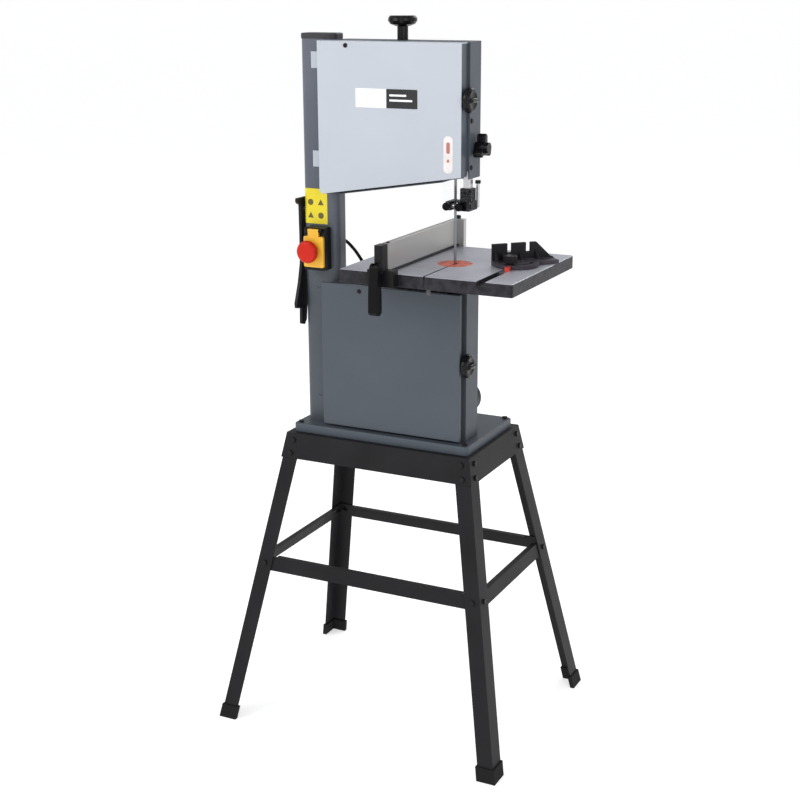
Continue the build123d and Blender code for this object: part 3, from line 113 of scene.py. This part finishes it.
def coords(t, stretch=(1, 1, 1)):
    c = t.nodes.new("ShaderNodeTexCoord")
    mp = t.nodes.new("ShaderNodeMapping")
    mp.inputs["Scale"].default_value = stretch
    t.links.new(c.outputs["Object"], mp.inputs["Vector"])
    return mp.outputs["Vector"]


def noise(t, vec, scale, detail):
    n = t.nodes.new("ShaderNodeTexNoise")
    n.inputs["Scale"].default_value = scale
    n.inputs["Detail"].default_value = detail
    n.inputs["Roughness"].default_value = 0.5
    t.links.new(vec, n.inputs["Vector"])
    return n.outputs["Fac"]


def ramp(t, fac, stops):
    r = t.nodes.new("ShaderNodeValToRGB")
    e = r.color_ramp.elements
    while len(e) < len(stops):
        e.new(0.5)
    for el, (pos, rgb) in zip(e, stops):
        el.position = pos
        el.color = (*rgb, 1) if len(rgb) == 3 else rgb
    t.links.new(fac, r.inputs["Fac"])
    return r.outputs["Color"]


def span(t, fac, low, high, a=0.3, b=0.7):
    n = t.nodes.new("ShaderNodeMapRange")
    for k, v in (("From Min", a), ("From Max", b), ("To Min", low), ("To Max", high)):
        n.inputs[k].default_value = v
    t.links.new(fac, n.inputs["Value"])
    return n.outputs["Result"]


def bump(t, height, strength, distance):
    n = t.nodes.new("ShaderNodeBump")
    n.inputs["Strength"].default_value = strength
    n.inputs["Distance"].default_value = distance
    t.links.new(height, n.inputs["Height"])
    return n.outputs["Normal"]


def zone(t, axis, low, high):
    """0 below low and 1 above high, along one of the part's own axes, in metres."""
    c = t.nodes.new("ShaderNodeTexCoord")
    sep = t.nodes.new("ShaderNodeSeparateXYZ")
    t.links.new(c.outputs["Object"], sep.inputs[0])
    return span(t, sep.outputs[axis], 0.0, 1.0, low, high)


def mix(t, fac, a, b):
    n = t.nodes.new("ShaderNodeMix")
    n.data_type = "RGBA"
    for socket, value in ((n.inputs["Factor"], fac), (n.inputs[6], a), (n.inputs[7], b)):
        t.links.new(value, socket)
    return n.outputs[2]


def product(t, a, b):
    n = t.nodes.new("ShaderNodeMath")
    n.operation = "MULTIPLY"
    t.links.new(a, n.inputs[0])
    t.links.new(b, n.inputs[1])
    return n.outputs[0]


def edge_round(t, normal, radius):
    """Softens the look of sharp edges, as paint or a moulding's radius does."""
    n = t.nodes.new("ShaderNodeBevel")
    n.samples = 4
    n.inputs["Radius"].default_value = radius
    t.links.new(n.outputs["Normal"], normal.inputs["Normal"])


def shade(rgb, k):
    return tuple(min(1.0, c * k) for c in rgb)


def surface(name, rgb, rough, metal=0.0, var=0.06, patch=9.0, grain=900.0, grain_depth=0.00008,
            grain_strength=0.25, stretch=(1, 1, 1), spec=0.5,
            other=None, where=None, also=None, edge=0.0):
    """Base colour that drifts over the surface, fine bump, and roughness that varies a little.
    other is a second colour, shown where the part lies above where = (axis, low, high) and,
    if also is given, above that too; a low larger than its high turns the sense round."""
    m, t, b = new_material(name)
    swing = 0.06
    v = coords(t, stretch)
    big = noise(t, v, patch, 3.0)
    fine = noise(t, v, grain, 2.0)
    col = ramp(t, big, [(0.3, shade(rgb, 1 - var)), (0.7, shade(rgb, 1 + var))])
    if other:
        second = ramp(t, big, [(0.3, shade(other, 1 - var)), (0.7, shade(other, 1 + var))])
        share = zone(t, *where)
        if also:
            share = product(t, share, zone(t, *also))
        col = mix(t, share, col, second)
    t.links.new(col, b.inputs["Base Color"])
    t.links.new(span(t, big, rough - swing, rough + swing), b.inputs["Roughness"])
    b.inputs["Metallic"].default_value = metal
    b.inputs["Specular IOR Level"].default_value = spec
    normal = bump(t, fine, grain_strength, grain_depth)
    if edge:
        edge_round(t, normal.node, edge)
    t.links.new(normal, b.inputs["Normal"])
    return m


make_camera()
make_studio()

GREY, LIGHT = (0.067, 0.081, 0.099), (0.48, 0.514, 0.568)
# places where a part changes colour, in metres; the upper door is light-painted on its face, and its top edge
# is light as a painted reflection
DOOR_SHEET_Y, DOOR_TOP_SHEEN_Z = (-0.0976, -0.0974), (1.3445, 1.3438)
# the column goes from darker low down to paler higher up between these heights: painted shade below and
# painted light from above
COLUMN_LIGHT_FROM_ABOVE_Z, UPPER_HINGES_Z = (0.85, 1.25), (0.99, 1.0)
TABLE_FACE_Z, SCALE_TOP_Z, CLAMP_TOP_Z = (0.9450, 0.9455), (0.9557, 0.9562), (1.0003, 1.0005)


def paint(name, rgb, rough=0.42, **more):
    """Smooth sheet-metal paint with a very fine grain."""
    settings = dict(var=0.05, grain=1400, grain_depth=0.00005, spec=0.3, edge=0.0012)
    settings.update(more)
    return surface(name, rgb, rough, **settings)


def moulding(name, rgb, rough, spec, var=0.1, patch=30, grain=3500, edge=0.0008, **more):
    """Plastic or cast black with softened edges."""
    return surface(name, rgb, rough, var=var, patch=patch, grain=grain, spec=spec, edge=edge, **more)


PAINT = paint("grey_paint", GREY)
# light paint on the upper door's face; the dark rim's top edge also takes the light colour, as a painted
# reflection
DOOR_PAINT_AND_TOP_SHEEN = paint("light_paint_top_sheen", LIGHT, 0.38, var=0.015, spec=0.35, other=GREY,
                   where=("Y", *DOOR_SHEET_Y), also=("Z", *DOOR_TOP_SHEEN_Z))
# a darker copy of the grey paint for the lower housing, as painted shade
LOWER_SHADED_PAINT = paint("lower_paint_shaded", (0.055, 0.065, 0.079), spec=0.25)
# column paint: darker below and paler above, a painted gradient of the light falling from above
COLUMN_PAINT_SHADED_LOW_LIT_HIGH = paint("column_paint_painted_light", (0.062, 0.073, 0.088), 0.36, spec=0.4, edge=0.0,
                     other=(0.102, 0.115, 0.149), where=("Z", *COLUMN_LIGHT_FROM_ABOVE_Z))
HINGE_PAINT = surface("hinge_paint", GREY, 0.40, var=0.03, grain=1400, spec=0.35,
                      other=LIGHT, where=("Z", *UPPER_HINGES_Z))
CAP = surface("cap_grey", (0.040, 0.040, 0.048), 0.45, var=0.05, patch=40, grain=2500, spec=0.25)
STAND = surface("stand_black", (0.015, 0.0145, 0.016), 0.46, var=0.2, grain=1800, spec=0.12, edge=0.001)
RUBBER = surface("rubber", (0.012, 0.012, 0.013), 0.72, var=0.15, grain=2500, spec=0.12, edge=0.0012)
STEEL = surface("steel", (0.62, 0.62, 0.63), 0.30, 1.0, var=0.08, patch=60, grain=3000, stretch=(1, 1, 0.15))
ZINC = surface("zinc", (0.55, 0.56, 0.57), 0.38, 1.0, var=0.10, patch=120, grain=4000)
BLACK_BOLT = surface("black_bolt", (0.010, 0.010, 0.011), 0.42, 0.0, var=0.1, patch=80, grain=3000, spec=0.2)
BLACK = moulding("black_plastic", (0.008, 0.008, 0.009), 0.38, 0.18)
LEVER_BLACK = moulding("lever_black", (0.004, 0.004, 0.0045), 0.40, 0.10)
GLOSS_BLACK = moulding("gloss_black", (0.005, 0.005, 0.006), 0.27, 0.20, grain=2500, grain_strength=0.08)
BLACK_METAL = moulding("black_metal", (0.008, 0.008, 0.009), 0.36, 0.17, var=0.15, patch=40, grain=1500)
GUIDE_BLACK = moulding("guide_black", (0.004, 0.004, 0.005), 0.36, 0.08, var=0.2, patch=40, grain=1500)
BLADE_STEEL = surface("blade_steel", (0.20, 0.21, 0.23), 0.34, 0.9, var=0.10, patch=60, grain=3000)
# mitre head: black above the scale's top; below it the base is dark grey instead of black, a painted sheen of
# light off its upward faces
GAUGE_WITH_PAINTED_SHEEN = moulding("gauge_casting_sheen", (0.052, 0.045, 0.057), 0.50, 0.2, var=0.2, patch=60, grain=1500,
                 other=(0.010, 0.010, 0.012), where=("Z", *SCALE_TOP_Z))
ALLOY = surface("alloy", (0.66, 0.67, 0.69), 0.34, 1.0, var=0.05, patch=40, grain=2500, stretch=(1, 0.1, 1))
CLAMP = surface("clamp_alloy", (0.50, 0.50, 0.49), 0.42, 0.6, var=0.04, patch=40, grain=2500,
                other=(0.012, 0.012, 0.013), where=("Z", *CLAMP_TOP_Z), edge=0.0008)
FENCE = surface("anodised", (0.43, 0.425, 0.41), 0.42, 0.6, var=0.05, patch=12, grain=3000,
                stretch=(1, 0.03, 1))
IRON = surface("cast_iron", (0.07, 0.07, 0.075), 0.58, 0.3, var=0.2, patch=50, grain=700, grain_depth=0.0003)
MOTOR = surface("motor_black", (0.022, 0.022, 0.025), 0.5, var=0.1, grain_depth=0.0001, spec=0.3, edge=0.001)
RED = surface("red_plastic", (0.54, 0.016, 0.005), 0.34, var=0.05, patch=60, grain=3000, spec=0.20)
YELLOW = moulding("yellow_plastic", (0.84, 0.465, 0.038), 0.36, 0.35, var=0.05, patch=60, grain=2500,
                  edge=0.001)
GREEN = surface("green_plastic", (0.02, 0.28, 0.06), 0.36, var=0.05, patch=60, grain=2500)


def table_top_material():
    """Ground iron: fine scratches along Y on the top, dark cast skin on the sides, slot and underside."""
    m, t, b = new_material("table_iron")
    lines = noise(t, coords(t, (1, 0.06, 1)), 2200, 3.0)
    cloud = noise(t, coords(t), 14, 4.0)
    geo = t.nodes.new("ShaderNodeNewGeometry")
    sep = t.nodes.new("ShaderNodeSeparateXYZ")
    t.links.new(geo.outputs["Normal"], sep.inputs[0])
    up = span(t, sep.outputs["Z"], 0.0, 1.0, 0.55, 0.65)
    top = product(t, up, zone(t, "Z", *TABLE_FACE_Z))
    ground = ramp(t, cloud, [(0.3, (0.42, 0.42, 0.475)), (0.7, (0.53, 0.53, 0.59))])
    casting = noise(t, coords(t), 70, 4.0)
    skin = ramp(t, casting, [(0.35, (0.010, 0.009, 0.012)), (0.65, (0.030, 0.028, 0.035))])
    t.links.new(mix(t, top, skin, ground), b.inputs["Base Color"])
    t.links.new(span(t, lines, 0.36, 0.5), b.inputs["Roughness"])
    t.links.new(span(t, top, 0.0, 0.6, 0.0, 1.0), b.inputs["Metallic"])
    b.inputs["Specular IOR Level"].default_value = 0.2
    t.links.new(bump(t, lines, 0.15, 0.00004), b.inputs["Normal"])
    return m


def insert_material():
    """Orange moulding with shallow turned rings round the blade's centre line."""
    m, t, b = new_material("insert_orange")
    cx, cy = [(lo + hi) / 2 for lo, hi in zip(*[c[:2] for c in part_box("table_insert")])]
    v = coords(t)
    v.node.inputs["Location"].default_value = (-cx, -cy, 0)
    rings = t.nodes.new("ShaderNodeTexWave")
    rings.wave_type, rings.rings_direction = "RINGS", "Z"
    rings.inputs["Scale"].default_value = 55
    rings.inputs["Distortion"].default_value = 0.6
    t.links.new(v, rings.inputs["Vector"])
    deep = ramp(t, rings.outputs["Fac"], [(0.25, (0.40, 0.035, 0.012)), (0.75, (0.62, 0.070, 0.028))])
    pale = ramp(t, rings.outputs["Fac"], [(0.25, (0.60, 0.090, 0.035)), (0.75, (0.86, 0.200, 0.090))])
    worn = span(t, noise(t, v, 55, 3.0), 0.0, 1.0, 0.40, 0.62)
    t.links.new(mix(t, worn, deep, pale), b.inputs["Base Color"])
    t.links.new(span(t, noise(t, v, 90, 2.0), 0.36, 0.5), b.inputs["Roughness"])
    t.links.new(bump(t, rings.outputs["Fac"], 0.5, 0.0004), b.inputs["Normal"])
    return m


def clear_material():
    m, t, b = new_material("clear_guard")
    b.inputs["Base Color"].default_value = (0.35, 0.36, 0.38, 1)
    b.inputs["Alpha"].default_value = 0.03
    b.inputs["Roughness"].default_value = 0.08
    b.inputs["Specular IOR Level"].default_value = 0.3
    t.links.new(bump(t, noise(t, coords(t), 60, 2.0), 0.05, 0.0001), b.inputs["Normal"])
    return m


TABLE = table_top_material()
ORANGE = insert_material()
CLEAR = clear_material()

NODES_BY_LOOK = (
    (STAND, ("front_legs", "rear_legs", "aprons", "stretchers")),
    (BLACK_BOLT, ("stand_bolts",)),
    (PAINT, ("base_plate", "upper_housing", "lower_door")),
    (LOWER_SHADED_PAINT, ("lower_housing",)),
    (COLUMN_PAINT_SHADED_LOW_LIT_HIGH, ("column",)),
    (DOOR_PAINT_AND_TOP_SHEEN, ("upper_door",)),
    (HINGE_PAINT, ("hinge_leaves",)),
    (CAP, ("column_cap",)),
    (RUBBER, ("leg_boots", "upper_tyre", "lower_tyre", "drive_belt", "motor_lead")),
    (GLOSS_BLACK, ("upper_door_knob", "lower_door_knob", "tension_screw", "tracking_knob",
                   "guide_clamp_knob")),
    (BLACK, ("dust_port", "tilt_lock_knob", "fence_strip", "mitre_knob", "switch_box", "push_stick",
             "lead_glands")),
    (BLACK_METAL, ("lower_guide", "fence_bracket")),
    (GUIDE_BLACK, ("guide_block",)),
    (LEVER_BLACK, ("fence_lever",)),
    (ALLOY, ("upper_wheel", "lower_wheel", "motor_pulley")),
    (STEEL, ("lower_axle", "tension_spring", "guide_post", "guide_pins", "thrust_bearing", "lower_guide_pins",
             "mitre_bar")),
    (BLADE_STEEL, ("blade",)),
    (MOTOR, ("motor", "motor_fan_cover")),
    (IRON, ("wheel_carriage", "trunnion", "trunnion_bracket")),
    (CLEAR, ("blade_guard",)),
    (TABLE, ("table",)),
    (ORANGE, ("table_insert",)),
    (FENCE, ("fence",)),
    (CLAMP, ("fence_rear_clamp",)),
    (GAUGE_WITH_PAINTED_SHEEN, ("mitre_head",)),
    (YELLOW, ("switch_flap",)),
    (RED, ("stop_button",)),
    (GREEN, ("start_button",)),
    (ZINC, ("stick_peg",)),
)


def dress_nodes():
    for look, names in NODES_BY_LOOK:
        for name in names:
            o = NODES[name]
            if not o.data.materials:
                o.data.materials.append(look)
            for slot in o.material_slots:
                slot.material = look


dress_nodes()


# ---- piece makers -----------------------------------------------------------
def piece(name, verts, faces, look, body, smooth=False):
    mesh = bpy.data.meshes.new(name)
    mesh.from_pydata([tuple(v) for v in verts], [], faces)
    mesh.update()
    bm = bmesh.new()
    bm.from_mesh(mesh)
    bmesh.ops.remove_doubles(bm, verts=bm.verts, dist=1e-7)
    bmesh.ops.recalc_face_normals(bm, faces=bm.faces)
    bm.to_mesh(mesh)
    bm.free()
    if smooth:
        mesh.shade_smooth()
        mesh.set_sharp_from_angle(angle=math.radians(35))
    mesh.materials.append(look)
    o = bpy.data.objects.new(name, mesh)
    bpy.context.collection.objects.link(o)
    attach(o, body)
    return o


def frame_of(normal):
    n = Vector(normal).normalized()
    side = n.orthogonal().normalized() if abs(n.z) > 0.9 else Vector((0, 0, 1)).cross(n).normalized()
    return side, n.cross(side), n


def tube_faces(rows, turns):
    """Sides of a closed tube given as rows of as many points as turns."""
    faces = []
    for i in range(rows - 1):
        for k in range(turns):
            j = (k + 1) % turns
            faces.append((i * turns + k, i * turns + j, (i + 1) * turns + j, (i + 1) * turns + k))
    return faces


def lathe(name, profile, at, normal, look, body, turns, wave=None):
    """Profile of (radius, height) in mm turned about normal through at (mm)."""
    u, v, n = frame_of(normal)
    verts, at = [], Vector(at)
    for r, h in profile:
        for k in range(turns):
            a = 2 * math.pi * k / turns
            rr = r * (1 + (wave(a, r, h) if wave else 0))
            verts.append((at + u * rr * math.cos(a) + v * rr * math.sin(a) + n * h) * MM)
    rows = len(profile)
    faces = tube_faces(rows, turns)
    faces.append(tuple(range(turns))[::-1])
    faces.append(tuple((rows - 1) * turns + k for k in range(turns)))
    return piece(name, verts, faces, look, body, True)


def pan_screw(name, at, normal, r, h, look, body):
    """Domed screw head with a cross recess."""
    u, v, n = frame_of(normal)
    at = Vector(at)
    rings = [(r, 0.0), (r, h * 0.35), (r * 0.86, h * 0.8), (r * 0.62, h), (r * 0.5, h * 1.02)]
    verts, turns = [], 24
    for rr, hh in rings:
        for k in range(turns):
            a = 2 * math.pi * k / turns
            verts.append((at + (u * math.cos(a) + v * math.sin(a)) * rr + n * hh) * MM)
    # the cross: long arms and short notches at the top, narrower at its floor
    for arm_r, notch_r, hh in ((0.42, 0.13, h), (0.30, 0.09, h * 0.35)):
        for k in range(turns):
            a = 2 * math.pi * k / turns
            arm = max(abs(math.cos(a)), abs(math.sin(a)))
            rr = r * (arm_r if arm > 0.96 else notch_r)
            verts.append((at + (u * math.cos(a) + v * math.sin(a)) * rr + n * hh) * MM)
    rows = len(verts) // turns
    faces = tube_faces(rows, turns)
    faces.append(tuple((rows - 1) * turns + k for k in range(turns)))
    return piece(name, verts, faces, look, body)


def sticker(name, at, u, v, w, h, look, body, thick, corner):
    """Thin rounded rectangle w by h mm, centred at, spanned by unit vectors u and v."""
    u, v, at = Vector(u), Vector(v), Vector(at)
    n = u.cross(v)
    ring = []
    for sx, sy, a0 in ((1, 1, 0), (-1, 1, 90), (-1, -1, 180), (1, -1, 270)):
        for k in range(5):
            a = math.radians(a0 + 22.5 * k)
            ring.append((sx * (w / 2 - corner) + corner * math.cos(a),
                         sy * (h / 2 - corner) + corner * math.sin(a)))
    return outline_plate(name, [at + u * x + v * y for x, y in ring], n, thick, look, body)


def outline_plate(name, ring, n, thick, look, body):
    count = len(ring)
    verts = [p * MM for p in ring] + [(p + n * thick) * MM for p in ring]
    faces = [tuple(range(count))[::-1], tuple(range(count, 2 * count))]
    faces += [(k, (k + 1) % count, count + (k + 1) % count, count + k) for k in range(count)]
    return piece(name, verts, faces, look, body)


def strip_faces(a, b):
    """Sides between two neighbouring sections of a thin strip, four points each."""
    return [(a, a + 1, b + 1, b), (a + 2, b + 2, b + 3, a + 3),
            (a, b, b + 2, a + 2), (a + 1, a + 3, b + 3, b + 1)]


# ---- stickers and plates ----------------------------------------------------
def ink(name, rgb, rough, var, patch=60, grain_strength=0.05):
    """Printed film, smoother than the paint around it."""
    return surface(name, rgb, rough, var=var, patch=patch, grain=3000, grain_strength=grain_strength)


WHITE_INK = ink("label_white", (0.86, 0.87, 0.88), 0.3, 0.01)
BLACK_INK = ink("label_black", (0.012, 0.012, 0.014), 0.3, 0.05)
YELLOW_INK = ink("label_yellow", (0.76, 0.62, 0.012), 0.36, 0.02)
MARK_INK = ink("label_mark", (0.11, 0.085, 0.015), 0.4, 0.05)
POINTER_RED = ink("pointer_red", (0.66, 0.05, 0.03), 0.35, 0.04, grain_strength=0.25)
PALE_INK = ink("label_pale", (0.78, 0.72, 0.72), 0.35, 0.06, patch=40)
RED_INK = ink("label_red", (0.46, 0.17, 0.12), 0.35, 0.04, patch=60)
X, Y, Z = Vector((1, 0, 0)), Vector((0, 1, 0)), Vector((0, 0, 1))
DOOR_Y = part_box("upper_door")[0].y / MM
MOTOR_X, MOTOR_Z, MOTOR_R, MOTOR_BOX_Y, FAN_SCREW_R = -50.0, 690.0, 58.0, 36.0, 50.0
BLADE_SLOT_X, POST_SIDE_X = 144.0, 169.0


def wrapped_label(name, xs, zs, look):
    """Label on the column's front that runs on round its left corner."""
    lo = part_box("column")[0]
    x0, y0, r, count = lo.x / MM, lo.y / MM, 12.0, 24
    path = []
    for k in range(count + 1):
        x = xs[0] + (xs[1] - xs[0]) * k / count
        reach = max(0.0, x0 + r - x)
        path.append((x, y0 + r - math.sqrt(max(0.0, r * r - reach * reach))))
    verts, faces = [], []
    for x, y in path:
        reach = max(0.0, x0 + r - x)
        n = Vector((-reach, y - y0 - r, 0)).normalized()
        for lift in (0.02, 0.27):
            verts += [(Vector((x, y, z)) + n * lift) * MM for z in zs]
    for k in range(count):
        faces += strip_faces(4 * k, 4 * k + 4)
    faces += [(0, 2, 3, 1), (4 * count, 4 * count + 1, 4 * count + 3, 4 * count + 2)]
    piece(name, verts, faces, look, "frame")


def make_labels():
    face = DOOR_Y - 0.02
    over = face - 0.32
    plate_z, label_x, longest = 1246, 139.8, 46
    for name, x, look in (("plate_light", -15, WHITE_INK), ("plate_dark", 48, BLACK_INK)):
        sticker(name, (x, face, plate_z), X, Z, 62, 34, look, "upper_door", 0.3, 1.5)
    for n, (w, z) in enumerate(((34, plate_z + 6), (longest, plate_z - 3))):
        at = (longest - (longest - w) / 2, over, z)
        sticker("plate_bar_%d" % n, at, X, Z, w, 3.5, WHITE_INK, "upper_door", 0.1, 1.0)
    sticker("side_label", (label_x, face, 1151), X, Z, 18, 66, PALE_INK, "upper_door", 0.3, 8.0)
    for n, (z, w, h) in enumerate(((1163, 7, 20), (1140, 5, 6))):
        sticker("side_mark_%d" % n, (label_x, over, z), X, Z, w, h, RED_INK, "upper_door", 0.1, 2.4)
    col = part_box("column")[0].y / MM - 0.02
    wrapped_label("column_label", (-175.5, -124), (1004, 1071), YELLOW_INK)
    for i, x in enumerate((-160, -138)):
        for j, z in enumerate((1020, 1045)):
            at = Vector((x, col - 0.27, z))
            if (i + j) % 2:
                ring = [at + X * 6.0 * math.cos(a) + Z * 6.0 * math.sin(a)
                        for a in [2 * math.pi * k / 28 for k in range(28)]]
            else:
                ring = [at + X * -6.5 + Z * -5.0, at + X * 6.5 + Z * -5.0, at + Z * 6.2]
            outline_plate("column_mark_%d%d" % (i, j), ring, -Y, 0.08, MARK_INK, "frame")


def make_screws():
    pan_screw("upper_door_screw", (-66, DOOR_Y, 1338), -Y, 4.2, 2.2, BLACK_BOLT, "upper_door")
    pan_screw("lower_door_screw", (-44, DOOR_Y, 886), -Y, 4.2, 2.2, BLACK_BOLT, "lower_door")
    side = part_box("upper_housing")[1].x / MM
    for n, z in enumerate((1209, 1126)):
        pan_screw("housing_screw_%d" % n, (side, -64, z), X, 4.5, 2.4, BLACK_BOLT, "frame")


# ---- knobs and small fittings -------------------------------------------------
def bar_grip(name, at, along, out, length, width, height, look, body):
    """Raised grip bar with a rounded back, lying along one direction and standing out along another."""
    along, out, at = Vector(along), Vector(out), Vector(at)
    side = along.cross(out)
    section = [(-width / 2, 0.0)] + [(-width / 2 * math.cos(a), height - width / 2 + width / 2 * math.sin(a))
                                     for a in [math.pi * k / 8 for k in range(9)]] + [(width / 2, 0.0)]
    cuts = [(-0.5, 0.55), (-0.47, 0.86), (-0.40, 1.0), (0.40, 1.0), (0.47, 0.86), (0.5, 0.55)]
    verts = [(at + along * length * f + side * a + out * b * k) * MM for f, k in cuts for a, b in section]
    n, rows = len(section), len(cuts)
    faces = [tuple(range(n)), tuple(range((rows - 1) * n, rows * n))[::-1]] + tube_faces(rows, n)
    return piece(name, verts, faces, look, body, True)


def make_housing_lip():
    """Turned-in edge of the upper housing's side wall, behind the door's rim."""
    lo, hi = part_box("upper_housing")
    sheet, catch_reach, width, bottom = 2.4, 21.0, 9, 1120
    x, y, top = hi.x / MM - sheet, lo.y / MM + catch_reach, hi.z / MM - sheet
    ring = [Vector((a, y, z)) for a, z in ((x - width, bottom), (x, bottom), (x, top), (x - width, top))]
    outline_plate("housing_lip", ring, Y, 1.6, PAINT, "frame")


def make_fence_screw():
    lo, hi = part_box("fence")
    at = ((lo.x + hi.x) / 2 / MM + 2.9, lo.y / MM + 6.5, hi.z / MM)
    pan_screw("fence_screw", at, Z, 3.4, 1.8, BLACK_BOLT, "fence")


def make_door_knobs():
    """Domed moulding with a grip bar across it, on a stud with a collar."""
    for door in ("upper", "lower"):
        node, body = door + "_door_knob", door + "_latch"
        lo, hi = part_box(node)
        r, back, face = (hi.z - lo.z) / 2 / MM, hi.x / MM - 19.0, hi.x / MM
        y, z = (lo.y + hi.y) / 2 / MM, (lo.z + hi.z) / 2 / MM
        stud = [(3.0, lo.x / MM - back), (3.0, -4.9), (6.5, -4.9), (6.5, 0.0)]
        rim = [(2.2, 0.0), (0.6, 1.0), (0.1, 3.0), (0.1, 7.5), (1.0, 10.0), (3.2, 11.8), (6.0, 12.2),
               (8.0, 11.2), (12.0, 10.4)]
        profile = stud + [(r - inset, height) for inset, height in rim] + [(2.0, 10.2)]
        notch = lambda a, rr, h: -0.045 * max(0.0, math.cos(8 * a)) ** 4 if rr > 18 else 0.0
        dish = lathe(door + "_knob_dish", profile, (back, y, z), X, GLOSS_BLACK, body, 64, notch)
        high = face - back - 1.5
        grip = bar_grip(door + "_knob_grip", (back, y, z), Y, X, 2 * r - 13.0, 8.0, high, GLOSS_BLACK, body)
        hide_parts(node)
        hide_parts(node)


def make_fittings():
    """Gauge pointer, guard stay, pin under the blade slot, gland nut, motor screws and plate."""
    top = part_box("mitre_bar")[1].z / MM - 6.9
    arrow = ((247.5, -87), (255, -87), (255, -77), (251.3, -70.8), (247.5, -77))
    ring = [Vector((x, y, top)) for x, y in arrow]
    outline_plate("gauge_pointer", ring, Z, 7.0, POINTER_RED, "gauge_bar")
    side = Vector((POST_SIDE_X, 0, 0))
    ring = [side + Vector((0, y, z)) for y, z in ((-31, 1049), (-22, 1049), (-22, 1093), (-31, 1093))]
    outline_plate("guard_stay", ring, -X, 3.0, STEEL, "guide")
    nut = [(5.2, 0.0), (5.6, 0.6), (5.6, 5.4), (5.2, 6.0)]
    lathe("guard_stay_nut", nut, (POST_SIDE_X - 1.5, -26.5, 1093.0), Z, BLACK_METAL, "guide", 6)
    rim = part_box("table")[0]
    lathe("slot_pin", [(0.6, 0.0), (3.4, 0.4), (3.9, 2.0), (3.9, 9.0), (3.0, 10.5), (3.0, 14.0)],
          (BLADE_SLOT_X, rim.y / MM + 3.0, rim.z / MM - 10.0), Z, IRON, "table", 24)
    lathe("motor_gland_nut", [(9.4, 0.0), (10.0, 0.8), (10.0, 5.2), (9.4, 6.0), (8.0, 6.0)],
          (MOTOR_X, MOTOR_BOX_Y, 775.5), Z, BLACK, "frame", 6)
    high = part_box("motor")[1] / MM
    for n in range(4):
        x, y = MOTOR_X + (22 if n % 2 else -22), MOTOR_BOX_Y + (20 if n // 2 else -20)
        pan_screw("terminal_screw_%d" % n, (x, y, high.z), Z, 3.0, 1.6, ZINC, "frame")
    for n in range(4):
        a = math.radians(45 + 90 * n)
        at = (MOTOR_X + FAN_SCREW_R * math.cos(a), high.y + 17.6, MOTOR_Z + FAN_SCREW_R * math.sin(a))
        pan_screw("fan_screw_%d" % n, at, Y, 3.0, 1.6, ZINC, "frame")
    sticker("motor_plate", (MOTOR_X + MOTOR_R + 0.1, 30, MOTOR_Z), Y, Z, 36, 22, ZINC, "frame", 0.4, 1.5)


make_labels()
make_screws()
make_housing_lip()
make_fence_screw()
make_door_knobs()
make_fittings()


# ---- blade ------------------------------------------------------------------
def make_blade():
    """Toothed band on the blade's own path, round both wheels, with its teeth to the front."""
    thick, pitch, tooth_depth = 0.0006, 0.0042, 0.0016
    lo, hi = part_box("blade")
    cx, r_out = (lo.x + hi.x) / 2, (hi.x - lo.x) / 2
    z_low, z_high = lo.z + r_out, hi.z - r_out
    r = r_out - thick / 2
    straight = z_high - z_low
    loop = 2 * straight + 2 * math.pi * r
    teeth = int(round(loop / pitch))
    front, back, gullet = lo.y, hi.y, lo.y + tooth_depth

    def on_wheel(a, z):
        n = Vector((math.cos(a), 0, math.sin(a)))
        return Vector((cx, 0, z)) + n * r, n

    def at(s):
        s %= loop
        if s < straight:
            return Vector((cx + r, 0, z_low + s)), Vector((1, 0, 0))
        s -= straight
        if s < math.pi * r:
            return on_wheel(s / r, z_high)
        s -= math.pi * r
        if s < straight:
            return Vector((cx - r, 0, z_high - s)), Vector((-1, 0, 0))
        return on_wheel(math.pi + (s - straight) / r, z_low)

    verts, faces, cols = [], [], []
    steps = [(0.0, gullet), (0.55, front), (0.62, gullet)]
    for k in range(teeth):
        for f, y in steps:
            p, n = at((k + f) * loop / teeth)
            cols.append((p, n, y))
    for p, n, y in cols:
        for side in (-0.5, 0.5):
            for yy in (y, back):
                verts.append(p + n * thick * side + Vector((0, yy, 0)))
    count = len(cols)
    for i in range(count):
        faces += strip_faces(4 * i, 4 * ((i + 1) % count))
    o = piece("blade_band", verts, faces, BLADE_STEEL, "frame")
    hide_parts("blade")


make_blade()
